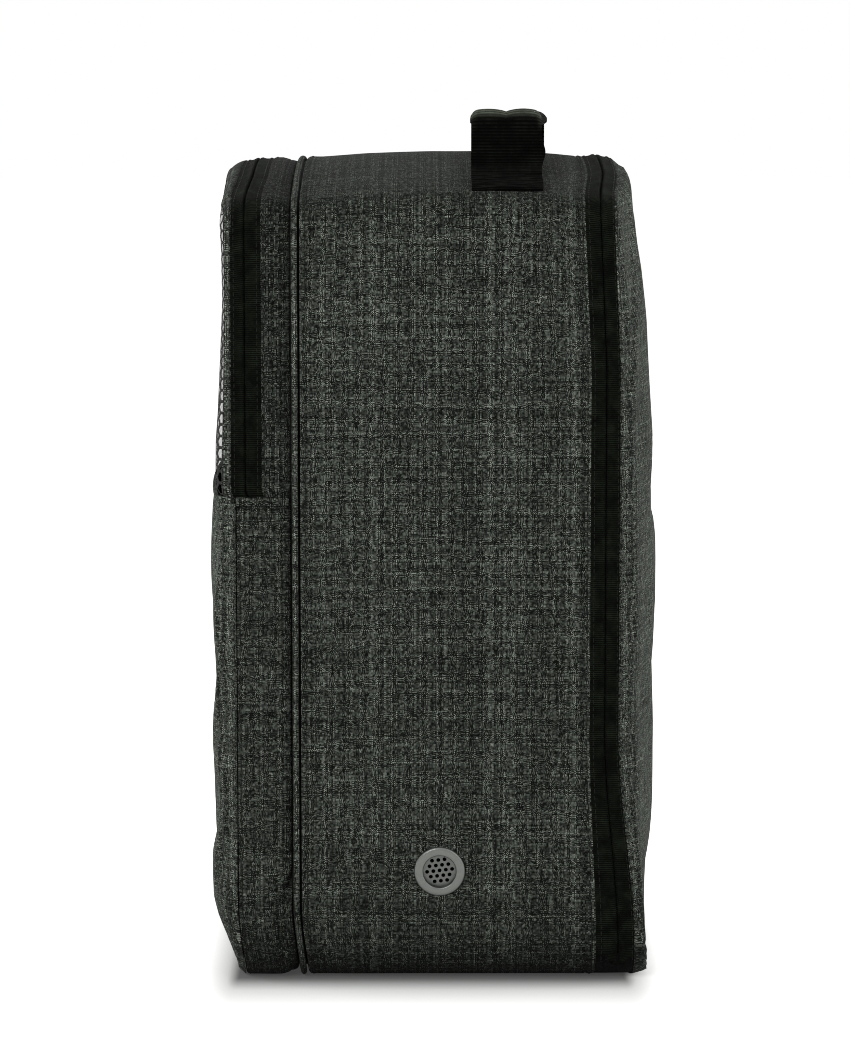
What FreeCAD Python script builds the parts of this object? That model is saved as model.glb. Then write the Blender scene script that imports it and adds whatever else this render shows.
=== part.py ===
"""Soft shoe bag: zipped case, zipped front pocket with a mesh flap, webbing handle, two vents.

Frame: X runs from the front pocket (-X) to the lid (+X), Y across the bag, Z up.
The origin is on the floor, under the middle of the bag.  All sizes are millimetres.
"""
import FreeCAD, Part
import math
import os
import Sketcher

Vector = FreeCAD.Vector

# Driving sizes: alias, value
SIZES = (
    # whole bag
    ("bag_width", 230.0),
    ("bag_height", 355.0),
    ("corner_radius", 36.0),
    ("base_radius", 24.0),
    # depths, from the pocket's crown to the lid's crown
    ("front_crown", 16.4),
    ("pocket_depth", 24.0),
    ("piping_diameter", 4.0),
    ("gusset_depth", 124.0),
    ("lid_crown", 19.1),
    # layers
    ("fabric", 1.0),
    ("foam", 2.5),
    ("lining", 0.5),
    ("layer_gap", 0.1),
    ("board", 1.5),
    ("board_margin", 3.0),
    # zips
    ("main_tape_width", 5.85),
    ("pocket_tape_width", 5.5),
    ("tape_thickness", 0.8),
    ("tape_recess", 0.2),
    ("coil_width", 2.2),
    ("coil_height", 1.6),
    ("split_gap", 1.6),
    ("main_zip_end", 8.0),
    ("binding_width", 1.6),
    ("binding_thickness", 3.4),
    # pocket: height of the hem at the flap's fold
    ("hem_height", 212.5),
    ("hem_depth", 2.5),
    ("hem_proud", 0.4),
    ("hem_thickness", 2.0),
    ("fold_gap", 0.3),
    ("flap_border_width", 9.0),
    ("mesh", 0.7),
    # swell of the lid: insets of its flat face, and how full each edge stands
    ("lid_face_side", 58.0),
    ("lid_face_low", 70.0),
    ("lid_face_high", 110.0),
    ("lid_side_fullness", 1.0),
    ("lid_low_fullness", 1.8),
    ("lid_high_fullness", 1.0),
    ("face_radius", 28.0),
    # swell of the front: a pad all over, and a fuller belly under the fold
    ("pad_crown", 10.0),
    ("pad_inset", 44.0),
    ("belly_height", 271.0),
    ("belly_side", 48.0),
    ("belly_low", 62.0),
    ("belly_face_height", 213.0),
    # handle
    ("webbing_width", 30.0),
    ("webbing_thickness", 1.6),
    ("handle_rise", 23.0),
    ("handle_bend", 7.0),
    ("handle_offset", 25.6),
    ("handle_foot_angle", 45.0),
    ("handle_foot_seat", 0.1),
    # vents
    ("vent_height", 50.0),
    ("vent_setback", 2.5),
    ("vent_turn", 7.0),
    ("eyelet_flange", 22.1),
    ("eyelet_lip", 13.6),
    ("eyelet_wall", 0.8),
    ("eyelet_crown", 1.2),
    ("eyelet_recess", 1.0),
    ("eyelet_groove", 0.5),
    ("eyelet_fit", 0.2),
    ("screen_thickness", 0.5),
    ("vent_pitch", 2.72),
    ("vent_hole", 1.6),
    ("washer_diameter", 21.0),
    ("washer_thickness", 0.8),
    # sliders and pulls
    ("slider_length", 11.0),
    ("slider_nose", 9.4),
    ("slider_tail", 7.0),
    ("slider_plate", 1.2),
    ("slider_gap", 0.3),
    ("slider_neck", 1.0),
    ("slider_neck_length", 4.0),
    ("slider_rest", 12.0),
    ("bail_width", 2.0),
    ("bail_bar", 1.0),
    ("bail_inner", 1.3),
    ("pull_bar", 1.4),
    ("pull_length", 24.0),
    ("pull_width", 6.6),
    ("pull_tip", 5.0),
    ("pull_thickness", 1.6),
    ("pull_gap", 0.5),
)

doc = FreeCAD.newDocument("shoe_bag")
sheet = doc.addObject("Spreadsheet::Sheet", "sizes")
for row, (alias, size) in enumerate(SIZES, start=1):
    sheet.set(f"A{row}", alias)
    sheet.set(f"B{row}", str(size))
    sheet.setAlias(f"B{row}", alias)
doc.recompute()


def bound(formula):
    """The formula with each alias written as a cell of the sheet."""
    for alias in sorted((name for name, size in SIZES), key=len, reverse=True):
        formula = formula.replace(alias, "<<" + alias[::-1] + ">>")
    for alias, size in SIZES:
        formula = formula.replace("<<" + alias[::-1] + ">>", "sizes." + alias)
    return formula


def number(formula):
    """The value of a formula now, as a plain number."""
    result = sheet.evalExpression(bound(formula))
    return float(getattr(result, "Value", result))


# Planes along X, worked out from the depths
HALF_DEPTH = ("((front_crown + pocket_depth + piping_diameter + gusset_depth + split_gap"
              " + 2 * main_tape_width + lid_crown) / 2)")
FRONT_SEAM = f"(front_crown - {HALF_DEPTH})"
POCKET_SPLIT = f"({FRONT_SEAM} + pocket_tape_width + split_gap / 2)"
POCKET_STRIP = f"({FRONT_SEAM} + 2 * pocket_tape_width + split_gap)"
PIPING_FRONT = f"({FRONT_SEAM} + pocket_depth)"
CASE_FRONT = f"({PIPING_FRONT} + piping_diameter)"
CASE_BACK = f"({CASE_FRONT} + gusset_depth)"
MAIN_SPLIT = f"({CASE_BACK} + main_tape_width + split_gap / 2)"
LID_SEAM = f"({HALF_DEPTH} - lid_crown)"
CASE_MIDDLE = f"({CASE_FRONT} + gusset_depth / 2)"

# Depths below the outer skin of the layers in the case wall
FOAM_OUT = "(fabric + layer_gap)"
LINING_OUT = f"({FOAM_OUT} + foam + layer_gap)"
WALL = f"({LINING_OUT} + lining)"
TAPE_IN = "(tape_recess + tape_thickness)"
COIL_IN = f"({TAPE_IN} + coil_height)"
HALF_WIDTH = "(bag_width / 2)"


# Chords in a quarter turn of a swelled panel's corner, and sides of the welt and of a vent hole
CORNER_CHORDS = 4
PIPING_SIDES = 8
HOLE_SIDES = 6


def new_body(label, x="0", y="0", z="0"):
    """A body whose place in the frame is bound to the sheet."""
    body = doc.addObject("PartDesign::Body", label)
    body.Label = label
    for axis, formula in zip("xyz", (x, y, z)):
        if formula != "0":
            body.setExpression(f"Placement.Base.{axis}", bound(formula))
    return body


def new_sketch(body, name, plane="YZ_Plane", away="0"):
    """A sketch on one of the body's own origin planes, moved along the plane's normal."""
    sketch = body.newObject("Sketcher::SketchObject", f"{body.Label}_{name}")
    support = next(item for item in body.Origin.OriginFeatures if item.Role == plane)
    sketch.AttachmentSupport = [(support, "")]
    sketch.MapMode = "FlatFace"
    if away != "0":
        sketch.setExpression("AttachmentOffset.Base.z", bound(away))
    return sketch


def set_size(sketch, name, constraint, formula):
    """Add a named constraint and bind it to a formula."""
    index = sketch.addConstraint(constraint)
    sketch.renameConstraint(index, name)
    sketch.setExpression(f"Constraints.{name}", bound(formula))


def quarter(x, y, radius, start):
    """A quarter arc that begins at the given quarter turn."""
    circle = Part.Circle(Vector(x, y, 0), Vector(0, 0, 1), radius)
    return Part.ArcOfCircle(circle, start * math.pi / 2, (start + 1) * math.pi / 2)


def add_outline(sketch, name, half, low, high, high_radius, low_radius):
    """A closed outline, symmetric about the sketch's Y axis, with rounded corners."""
    w, a, b = number(half), number(low), number(high)
    r, q = number(high_radius), number(low_radius)
    first = sketch.GeometryCount
    sketch.addGeometry([
        Part.LineSegment(Vector(q - w, a, 0), Vector(w - q, a, 0)),
        quarter(w - q, a + q, q, 3),
        Part.LineSegment(Vector(w, a + q, 0), Vector(w, b - r, 0)),
        quarter(w - r, b - r, r, 0),
        Part.LineSegment(Vector(w - r, b, 0), Vector(r - w, b, 0)),
        quarter(r - w, b - r, r, 1),
        Part.LineSegment(Vector(-w, b - r, 0), Vector(-w, a + q, 0)),
        quarter(q - w, a + q, q, 2)], False)
    rules = [Sketcher.Constraint("Tangent", first + i, 2, first + (i + 1) % 8, 1) for i in range(8)]
    rules += [Sketcher.Constraint(kind, first + i)
              for kind, i in (("Horizontal", 0), ("Vertical", 2), ("Horizontal", 4), ("Vertical", 6))]
    rules += [Sketcher.Constraint("Equal", first + 1, first + 7),
              Sketcher.Constraint("Equal", first + 3, first + 5)]
    sketch.addConstraint(rules)
    set_size(sketch, f"{name}_right", Sketcher.Constraint("DistanceX", -1, 1, first + 2, 1, w), half)
    set_size(sketch, f"{name}_left", Sketcher.Constraint("DistanceX", first + 6, 1, -1, 1, w), half)
    set_size(sketch, f"{name}_low", Sketcher.Constraint("DistanceY", -1, 1, first, 1, a), low)
    set_size(sketch, f"{name}_high", Sketcher.Constraint("DistanceY", -1, 1, first + 4, 1, b), high)
    set_size(sketch, f"{name}_high_radius", Sketcher.Constraint("Radius", first + 3, r), high_radius)
    set_size(sketch, f"{name}_low_radius", Sketcher.Constraint("Radius", first + 1, q), low_radius)


def add_box(sketch, name, left, right, low, high):
    """A rectangle between four bound lines."""
    a, b, c, d = number(left), number(right), number(low), number(high)
    corners = [Vector(a, c, 0), Vector(b, c, 0), Vector(b, d, 0), Vector(a, d, 0)]
    first = sketch.GeometryCount
    sketch.addGeometry([Part.LineSegment(corners[i], corners[(i + 1) % 4]) for i in range(4)], False)
    sketch.addConstraint(
        [Sketcher.Constraint("Coincident", first + i, 2, first + (i + 1) % 4, 1) for i in range(4)]
        + [Sketcher.Constraint(kind, first + i)
           for kind, i in (("Horizontal", 0), ("Vertical", 1), ("Horizontal", 2), ("Vertical", 3))])
    for end, index, rule, place, formula in (("left", 3, "DistanceX", a, left),
                                             ("right", 1, "DistanceX", b, right),
                                             ("low", 0, "DistanceY", c, low),
                                             ("high", 2, "DistanceY", d, high)):
        set_size(sketch, f"{name}_{end}", Sketcher.Constraint(rule, -1, 1, first + index, 1, place), formula)


def add_circle(sketch, name, x, y, radius):
    """A circle at a bound place."""
    a, b, r = number(x), number(y), number(radius)
    index = sketch.addGeometry(Part.Circle(Vector(a, b, 0), Vector(0, 0, 1), r), False)
    set_size(sketch, f"{name}_x", Sketcher.Constraint("DistanceX", -1, 1, index, 3, a), x)
    set_size(sketch, f"{name}_y", Sketcher.Constraint("DistanceY", -1, 1, index, 3, b), y)
    set_size(sketch, f"{name}_radius", Sketcher.Constraint("Radius", index, r), radius)


def add_polygon(sketch, name, points):
    """A closed outline of straight lines through bound points."""
    places = [Vector(number(x), number(y), 0) for x, y in points]
    count = len(places)
    first = sketch.GeometryCount
    sketch.addGeometry([Part.LineSegment(places[i], places[(i + 1) % count]) for i in range(count)], False)
    sketch.addConstraint([Sketcher.Constraint("Coincident", first + i, 2, first + (i + 1) % count, 1)
                          for i in range(count)])
    sizes_of = [(f"{name}_{axis}{i}", kind, i, value, formula)
                for i, (place, point) in enumerate(zip(places, points))
                for axis, kind, value, formula in (("x", "DistanceX", place.x, point[0]),
                                                   ("y", "DistanceY", place.y, point[1]))]
    indices = sketch.addConstraint([Sketcher.Constraint(kind, -1, 1, first + i, 1, value)
                                    for label, kind, i, value, formula in sizes_of])
    for index, (label, kind, i, value, formula) in zip(indices, sizes_of):
        sketch.renameConstraint(index, label)
        sketch.setExpression(f"Constraints.{label}", bound(formula))


def add_regular(sketch, name, sides, x, y, radius):
    """A regular polygon with a corner to the right of its centre."""
    add_polygon(sketch, name, [(f"{x} + {radius} * cos({360 * i / sides} deg)",
                                f"{y} + {radius} * sin({360 * i / sides} deg)") for i in range(sides)])


def add_pad(body, name, sketch, length, both_ways=False):
    """Pad a sketch along its normal, or half to each side."""
    pad = body.newObject("PartDesign::Pad", f"{body.Label}_{name}")
    pad.Profile = sketch
    pad.setExpression("Length", bound(length))
    if both_ways:
        pad.SideType = "Symmetric"
    return pad


def cut_through(body, name, sketch):
    """Pocket a sketch through the whole body, both ways."""
    pocket = body.newObject("PartDesign::Pocket", f"{body.Label}_{name}")
    pocket.Profile = sketch
    pocket.SideType = "Symmetric"
    pocket.Type = "ThroughAll"
    return pocket


def outline_at(sketch, name, depth):
    """The bag's outline, this far inside the outer skin."""
    add_outline(sketch, name, f"{HALF_WIDTH} - {depth}", depth, f"bag_height - {depth}",
                f"corner_radius - {depth}", f"base_radius - {depth}")


def keep_heights(body, low=None, high=None):
    """Cut away what lies under the low height or over the high one."""
    beyond = "(bag_width + bag_height)"
    if low:
        below = new_sketch(body, "below")
        add_box(below, "below", f"-{beyond}", beyond, f"-{beyond}", low)
        cut_through(body, "cut_below", below)
    if high:
        above = new_sketch(body, "above")
        add_box(above, "above", f"-{beyond}", beyond, high, f"{beyond} * 2")
        cut_through(body, "cut_above", above)


def make_band(label, front, back, outer, inner, low=None, high=None):
    """A strip that follows the bag's outline, between two depths below the skin."""
    body = new_body(label, x=front)
    sketch = new_sketch(body, "outline")
    outline_at(sketch, "outer", outer)
    outline_at(sketch, "inner", inner)
    add_pad(body, "pad", sketch, f"{back} - {front}")
    keep_heights(body, low, high)
    return body


def make_sheet(label, front, thickness, inset):
    """A flat panel with the bag's outline, inset on every side."""
    body = new_body(label, x=front)
    sketch = new_sketch(body, "outline")
    outline_at(sketch, "edge", inset)
    add_pad(body, "pad", sketch, thickness)
    return body


# Swelled forms: depth of the crown, then for the sides, base and top the inset at the seam, the inset of
# the face and the fullness of the edge between them.  A fullness of 1 is a quarter of an ellipse.
LID_SWELLS = (
    ("lid_crown", (("0", "lid_face_side", "lid_side_fullness"),
                   ("0", "lid_face_low", "lid_low_fullness"),
                   ("0", "lid_face_high", "lid_high_fullness"))),
)
BELLY = ("front_crown", (("0", "belly_side", "1"), ("0", "belly_low", "1"),
                         ("bag_height - belly_height", "bag_height - belly_face_height", "1")))
FRONT_SWELLS = (BELLY,)
FLAP_SWELLS = (("pad_crown", (("0", "pad_inset", "1"),) * 3), BELLY)
SWELL_TURNS = (0, 30, 60, 90)


def chord_outline(half, low, high, high_radius, low_radius):
    """The rounded panel outline with each corner as a few chords, as places across and up."""
    places = []
    for corner, (side, level, radius) in enumerate(((1, low, low_radius), (1, high, high_radius),
                                                    (-1, high, high_radius), (-1, low, low_radius))):
        middle = level - radius if level == high else level + radius
        for step in range(CORNER_CHORDS + 1):
            turn = math.radians((corner - 1 + step / CORNER_CHORDS) * 90)
            places.append((side * (half - radius) + radius * math.cos(turn),
                           middle + radius * math.sin(turn)))
    return places


def swell_sections(crown, edges, outward, depth):
    """Outlines of a swelled form at rising steps, this far inside its outer skin."""
    sections = []
    for turn in SWELL_TURNS:
        risen, spread = math.sin(math.radians(turn)), 1 - math.cos(math.radians(turn))
        drawn_in = depth * math.cos(math.radians(turn))
        side, low, high = (start + (face - start) * spread ** fullness + drawn_in
                           for start, face, fullness in edges)
        high_radius, low_radius = (seam + (number("face_radius") - seam) * spread - drawn_in
                                   for seam in (number("corner_radius"), number("base_radius")))
        away = outward * (crown * risen - depth * risen)
        outline = chord_outline(number(HALF_WIDTH) - side, low, number("bag_height") - high,
                                high_radius, low_radius)
        sections.append([Vector(away, across, up) for across, up in outline])
    return sections


def swell_solid(sections):
    """A closed solid through the sections, every strip between two of them flat."""
    rings = [sections[0], sections[-1]]
    for near, far in zip(sections, sections[1:]):
        for i in range(len(near)):
            after = (i + 1) % len(near)
            rings.append([near[i], near[after], far[after], far[i]])
    shell = Part.makeShell([Part.Face(Part.makePolygon(ring + ring[:1])) for ring in rings])
    shell.sewShape()
    solid = Part.makeSolid(shell)
    if solid.Volume < 0:
        solid.reverse()
    return solid


def make_swell(label, seam, swells, outward, outer, inner, low=None, high=None, window=None):
    """A swelled panel as a shell between two depths, open towards its seam.

    Its skin is made of flat strips, which sketches and lofts would give as curved ones.
    """
    shape = None
    for depth, name in ((number(outer), "out"), (number(inner), "in")):
        for crown, edges in swells:
            values = [[number(value) for value in edge] for edge in edges]
            form = swell_solid(swell_sections(number(crown), values, outward, depth))
            if shape is None:
                shape = form
            else:
                shape = shape.fuse(form) if name == "out" else shape.cut(form)
    span = number("bag_height")
    floor = number(low) if low else -span
    ceiling = number(high) if high else 2 * span
    slab = Part.makeBox(2 * span, 4 * span, ceiling - floor, Vector(-span, -2 * span, floor))
    shape = shape.common(slab)
    if window:
        side, low_edge, high_edge = (number(value) for value in window)
        outline = [Vector(-span, across, up) for across, up in
                   chord_outline(number(HALF_WIDTH) - side, low_edge, span - high_edge,
                                 number("corner_radius") - side, number("base_radius") - side)]
        prism = Part.Face(Part.makePolygon(outline + outline[:1])).extrude(Vector(2 * span, 0, 0))
        shape = shape.cut(prism)
    piece = doc.addObject("Part::Feature", label)
    piece.Label = label
    piece.Shape = shape.removeSplitter()
    piece.Placement = FreeCAD.Placement(Vector(number(seam), 0, 0), FreeCAD.Rotation())
    return piece


def cut_vents(body):
    """The holes for the two vents, straight across the bag."""
    sketch = new_sketch(body, "vent_hole", plane="XZ_Plane")
    add_circle(sketch, "vent", "gusset_depth / 2 - vent_setback", "vent_height",
               "eyelet_lip / 2 + eyelet_wall + eyelet_groove + eyelet_fit")
    cut_through(body, "vent_holes", sketch)


# Case
case = []
for label, outer, inner in (("main_gusset", "0", "fabric"),
                            ("main_gusset_foam", FOAM_OUT, f"({FOAM_OUT} + foam)"),
                            ("main_gusset_lining", LINING_OUT, WALL)):
    layer = make_band(label, CASE_FRONT, CASE_BACK, outer, inner)
    cut_vents(layer)
    case.append(layer)
FOLD_STEP = "(fold_gap * 4)"
case.append(make_band("hinge_strip", CASE_BACK, f"({LID_SEAM} - {FOLD_STEP})", "0", "fabric",
                      high="main_zip_end"))
PANEL_INSET = "(fold_gap + piping_diameter + layer_gap)"
DIVIDER_FOAM = f"({PIPING_FRONT} + fabric + layer_gap)"
DIVIDER_LINING = f"({PIPING_FRONT} + piping_diameter - lining)"
case.append(make_sheet("divider_panel", PIPING_FRONT, "fabric", PANEL_INSET))
case.append(make_sheet("divider_foam", DIVIDER_FOAM,
                       f"{DIVIDER_LINING} - {DIVIDER_FOAM} - layer_gap", PANEL_INSET))
case.append(make_sheet("divider_lining", DIVIDER_LINING, "lining", PANEL_INSET))

board = new_body("bottom_board", x=f"{CASE_FRONT} + board_margin", z=f"{WALL} + layer_gap")
plan = new_sketch(board, "plan", plane="XY_Plane")
BOARD_HALF = f"({HALF_WIDTH} - base_radius)"
add_box(plan, "board", "0", "gusset_depth - 2 * board_margin", f"-{BOARD_HALF}", BOARD_HALF)
add_pad(board, "pad", plan, "board")
case.append(board)

piping = new_body("front_piping", x=f"{PIPING_FRONT} + piping_diameter / 2")
path = new_sketch(piping, "path")
outline_at(path, "path", "(fold_gap + piping_diameter / 2)")
cord = new_sketch(piping, "round", plane="XZ_Plane")
add_regular(cord, "cord", PIPING_SIDES, "0", "(fold_gap + piping_diameter / 2)", "(piping_diameter / 2)")
welt = piping.newObject("PartDesign::AdditivePipe", "front_piping_welt")
welt.Profile = cord
welt.Spine = (path, [])
case.append(piping)

case.append(make_band("divider_binding", CASE_FRONT, f"({CASE_FRONT} + binding_width)",
                      f"({WALL} + layer_gap)", f"({WALL} + fabric)"))
case.append(make_band("zip_seam_binding", f"({CASE_BACK} + layer_gap)", f"({CASE_BACK} + binding_width)",
                      f"({TAPE_IN} + layer_gap)", f"({TAPE_IN} + binding_thickness)"))
case.append(make_band("main_zip_tape_body", CASE_BACK, f"({MAIN_SPLIT} - split_gap / 2)", "tape_recess",
                      TAPE_IN, low="main_zip_end"))
case.append(make_band("main_zip_coil_body", f"({MAIN_SPLIT} - split_gap / 2 - coil_width)",
                      f"({MAIN_SPLIT} - split_gap / 2)", TAPE_IN, COIL_IN, low="main_zip_end"))

# Front pocket
HEM_LOW = "(hem_height - hem_depth)"
POCKET_FLOOR = f"({HEM_LOW} - layer_gap)"
case.append(make_band("pocket_gusset_lower", FRONT_SEAM, PIPING_FRONT, "0", "fabric", high=HEM_LOW))
case.append(make_band("pocket_zip_end_bands", FRONT_SEAM, PIPING_FRONT, "-hem_proud",
                      "(hem_thickness - hem_proud)", low=HEM_LOW, high="hem_height"))
case.append(make_band("pocket_gusset_upper", POCKET_STRIP, PIPING_FRONT, "0", "fabric",
                      low="hem_height"))
case.append(make_band("pocket_zip_tape_body", f"({POCKET_SPLIT} + split_gap / 2)", POCKET_STRIP,
                      "tape_recess", TAPE_IN, low="hem_height"))
case.append(make_band("pocket_zip_coil_body", f"({POCKET_SPLIT} + split_gap / 2)",
                      f"({POCKET_SPLIT} + split_gap / 2 + coil_width)", TAPE_IN, COIL_IN,
                      low="hem_height"))
case.append(make_swell("front_panel", FRONT_SEAM, FRONT_SWELLS, -1, "0", "fabric", high=POCKET_FLOOR))
case.append(make_swell("front_panel_lining", FRONT_SEAM, FRONT_SWELLS, -1, FOAM_OUT,
                       f"({FOAM_OUT} + lining)", high=POCKET_FLOOR))
case.append(make_swell("front_panel_hem", FRONT_SEAM, FRONT_SWELLS, -1, "-hem_proud",
                       "(hem_thickness - hem_proud)", low=HEM_LOW, high="hem_height"))

# Flap of the pocket
FLAP_LOW = "(hem_height + fold_gap)"
WINDOW = ("flap_border_width", "hem_height / 2", "flap_border_width")
flap = [make_swell("flap_border", FRONT_SEAM, FLAP_SWELLS, -1, "0", "fabric", low=FLAP_LOW, window=WINDOW),
        make_swell("flap_mesh", FRONT_SEAM, FLAP_SWELLS, -1, FOAM_OUT, f"({FOAM_OUT} + mesh)",
                   low=FLAP_LOW),
        make_band("flap_zip_tape", FRONT_SEAM, f"({POCKET_SPLIT} - split_gap / 2)", "tape_recess",
                  TAPE_IN, low=FLAP_LOW),
        make_band("flap_zip_coil", f"({POCKET_SPLIT} - split_gap / 2 - coil_width)",
                  f"({POCKET_SPLIT} - split_gap / 2)", TAPE_IN, COIL_IN, low=FLAP_LOW)]

# Lid of the case
LID_LOW = "(main_zip_end + fold_gap)"
lid = []
for label, outer, inner in (("lid_panel", "0", "fabric"),
                            ("lid_foam", FOAM_OUT, f"({FOAM_OUT} + foam)"),
                            ("lid_lining", LINING_OUT, WALL)):
    lid.append(make_swell(label, LID_SEAM, LID_SWELLS, 1, outer, inner))
lid.append(make_band("lid_seam_binding", f"({LID_SEAM} - binding_width)", f"({LID_SEAM} - layer_gap)",
                     f"({TAPE_IN} + layer_gap)", f"({TAPE_IN} + binding_thickness)", low=LID_LOW))
lid.append(make_band("lid_zip_tape", f"({MAIN_SPLIT} + split_gap / 2)", LID_SEAM, "tape_recess", TAPE_IN,
                     low=LID_LOW))
lid.append(make_band("lid_zip_coil", f"({MAIN_SPLIT} + split_gap / 2)",
                     f"({MAIN_SPLIT} + split_gap / 2 + coil_width)", TAPE_IN, COIL_IN, low=LID_LOW))


def make_handle():
    """Webbing loop across the top: an upright arch whose ends turn outwards and lie on the slopes."""
    body = new_body("handle_strap", x=f"{CASE_MIDDLE} + handle_offset")
    middle = f"({HALF_WIDTH} - corner_radius)"
    seat = "(corner_radius + handle_foot_seat)"
    top = "(bag_height + handle_rise)"
    arch = new_sketch(body, "arch")
    root = "(bag_height + handle_foot_seat)"
    add_outline(arch, "outer", middle, f"{root} - handle_rise", top, "handle_bend", "handle_bend")
    add_outline(arch, "inner", f"{middle} - webbing_thickness", f"{root} - handle_rise + webbing_thickness",
                f"{top} - webbing_thickness", "handle_bend - webbing_thickness",
                "handle_bend - webbing_thickness")
    add_pad(body, "arch_pad", arch, "webbing_width", both_ways=True)
    keep_heights(body, low=root)
    turn = math.radians(number("handle_foot_angle"))
    for side in (-1, 1):
        foot = new_sketch(body, "foot_near" if side < 0 else "foot_far")
        centre = Vector(side * number(middle), number("bag_height - corner_radius"), 0)
        low_radius, high_radius = number(seat), number(f"{seat} + webbing_thickness")
        start = math.pi / 2
        ends = sorted((start, start - side * turn))
        arcs = [Part.ArcOfCircle(Part.Circle(centre, Vector(0, 0, 1), r), *ends)
                for r in (low_radius, high_radius)]
        foot.addGeometry([arcs[0], arcs[1],
                          Part.LineSegment(arcs[0].StartPoint, arcs[1].StartPoint),
                          Part.LineSegment(arcs[0].EndPoint, arcs[1].EndPoint)], False)
        upright = 3 if side > 0 else 2
        tip = 2 if side > 0 else 3
        foot.addConstraint([
            Sketcher.Constraint("Coincident", 0, 3, 1, 3),
            Sketcher.Constraint("Coincident", 0, 1, 2, 1), Sketcher.Constraint("Coincident", 1, 1, 2, 2),
            Sketcher.Constraint("Coincident", 0, 2, 3, 1), Sketcher.Constraint("Coincident", 1, 2, 3, 2),
            Sketcher.Constraint("Vertical", upright)])
        set_size(foot, "seat", Sketcher.Constraint("Radius", 0, low_radius), seat)
        set_size(foot, "crest", Sketcher.Constraint("Radius", 1, high_radius), f"{seat} + webbing_thickness")
        if side > 0:
            reach = Sketcher.Constraint("DistanceX", -1, 1, 0, 3, abs(centre.x))
        else:
            reach = Sketcher.Constraint("DistanceX", 0, 3, -1, 1, abs(centre.x))
        set_size(foot, "reach", reach, middle)
        set_size(foot, "rise", Sketcher.Constraint("DistanceY", -1, 1, 0, 3, centre.y),
                 "bag_height - corner_radius")
        set_size(foot, "turn", Sketcher.Constraint("Angle", upright, 1, tip, 1, turn),
                 "handle_foot_angle * 1 deg")
        add_pad(body, "foot_near_pad" if side < 0 else "foot_far_pad", foot, "webbing_width", both_ways=True)
    return body


case.append(make_handle())


def turn_to_side(body, side):
    """Turn a body whose local Z points out of the bag to the near (-1) or far (+1) side."""
    across = Vector(-side, 0, 0)
    body.Placement = FreeCAD.Placement(body.Placement.Base,
                                       FreeCAD.Rotation(across, Vector(0, 0, 1), Vector(0, side, 0), "ZXY"))


def revolve(body, sketch):
    """Turn a profile once round the sketch's upright axis."""
    turned = body.newObject("PartDesign::Revolution", f"{body.Label}_turned")
    turned.Profile = sketch
    turned.ReferenceAxis = (sketch, ["V_Axis"])
    turned.Angle = 360
    return turned


def mirror_across(body, feature):
    """The same feature again on the bag's far side."""
    twin = body.newObject("PartDesign::Mirrored", f"{body.Label}_far")
    twin.Originals = [feature]
    twin.MirrorPlane = (next(item for item in body.Origin.OriginFeatures if item.Role == "XZ_Plane"), [""])
    body.Tip = twin
    return twin


def make_vents():
    """Flanged eyelets through the case wall, with their perforated screens and the washers behind."""
    place = {"x": f"{CASE_MIDDLE} - vent_setback", "z": "vent_height"}
    lip = "(eyelet_lip / 2)"
    bore = f"({lip} + eyelet_groove)"
    barrel = f"({bore} + eyelet_wall)"
    back = f"({WALL} + washer_thickness + 2 * layer_gap)"
    rim = "(eyelet_crown * 0.35)"
    eyelets = new_body("vent_eyelets", **place)
    profile = new_sketch(eyelets, "profile", plane="XY_Plane")
    section = ((lip, "-eyelet_recess"), (lip, "eyelet_crown - eyelet_groove"),
               (f"{lip} + eyelet_groove", "eyelet_crown"), (f"{barrel} + eyelet_groove", "eyelet_crown"),
               ("eyelet_flange / 2", rim), ("eyelet_flange / 2", "0"), (barrel, "0"),
               (barrel, f"-{back}"), (f"{barrel} + eyelet_wall", f"-{back} - eyelet_wall / 2"),
               (bore, f"-{back} - eyelet_wall / 2"), (bore, "-eyelet_recess"))
    add_polygon(profile, "section", [(radius, f"-{HALF_WIDTH} - ({out})") for radius, out in section])
    mirror_across(eyelets, revolve(eyelets, profile))
    screens = new_body("vent_screens", **place)
    face = f"({HALF_WIDTH} - eyelet_recess)"
    disc = new_sketch(screens, "disc", plane="XZ_Plane", away=f"{face} - screen_thickness")
    add_circle(disc, "disc", "0", "0", f"{bore} - layer_gap")
    mirror_across(screens, add_pad(screens, "pad", disc, "screen_thickness"))
    middle = new_sketch(screens, "middle_hole", plane="XZ_Plane")
    add_regular(middle, "middle", HOLE_SIDES, "0", "0", "(vent_hole / 2)")
    cut_through(screens, "middle_cut", middle)
    seeds = new_sketch(screens, "ring_holes", plane="XZ_Plane")
    slant = "vent_turn * 1 deg"
    for tag, reach, angle in (("inner", "vent_pitch", slant),
                              ("outer", "2 * vent_pitch", slant),
                              ("between", "sqrt(3) * vent_pitch", f"{slant} + 30 deg")):
        add_regular(seeds, tag, HOLE_SIDES, f"{reach} * cos({angle})", f"{reach} * sin({angle})",
                    "(vent_hole / 2)")
    ring = cut_through(screens, "ring_cut", seeds)
    pattern = screens.newObject("PartDesign::PolarPattern", "vent_screens_rings")
    pattern.Originals = [ring]
    pattern.Axis = (seeds, ["N_Axis"])
    pattern.Angle = 360
    pattern.Occurrences = 6
    screens.Tip = pattern
    washers = new_body("vent_washers", **place)
    seat = f"({HALF_WIDTH} - {WALL} - layer_gap)"
    flat = new_sketch(washers, "ring", plane="XZ_Plane", away=f"{seat} - washer_thickness")
    add_circle(flat, "rim", "0", "0", "washer_diameter / 2")
    add_circle(flat, "hole", "0", "0", f"{barrel} + eyelet_fit / 2")
    mirror_across(washers, add_pad(washers, "pad", flat, "washer_thickness"))
    return [eyelets, screens, washers]


case.extend(make_vents())

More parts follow.
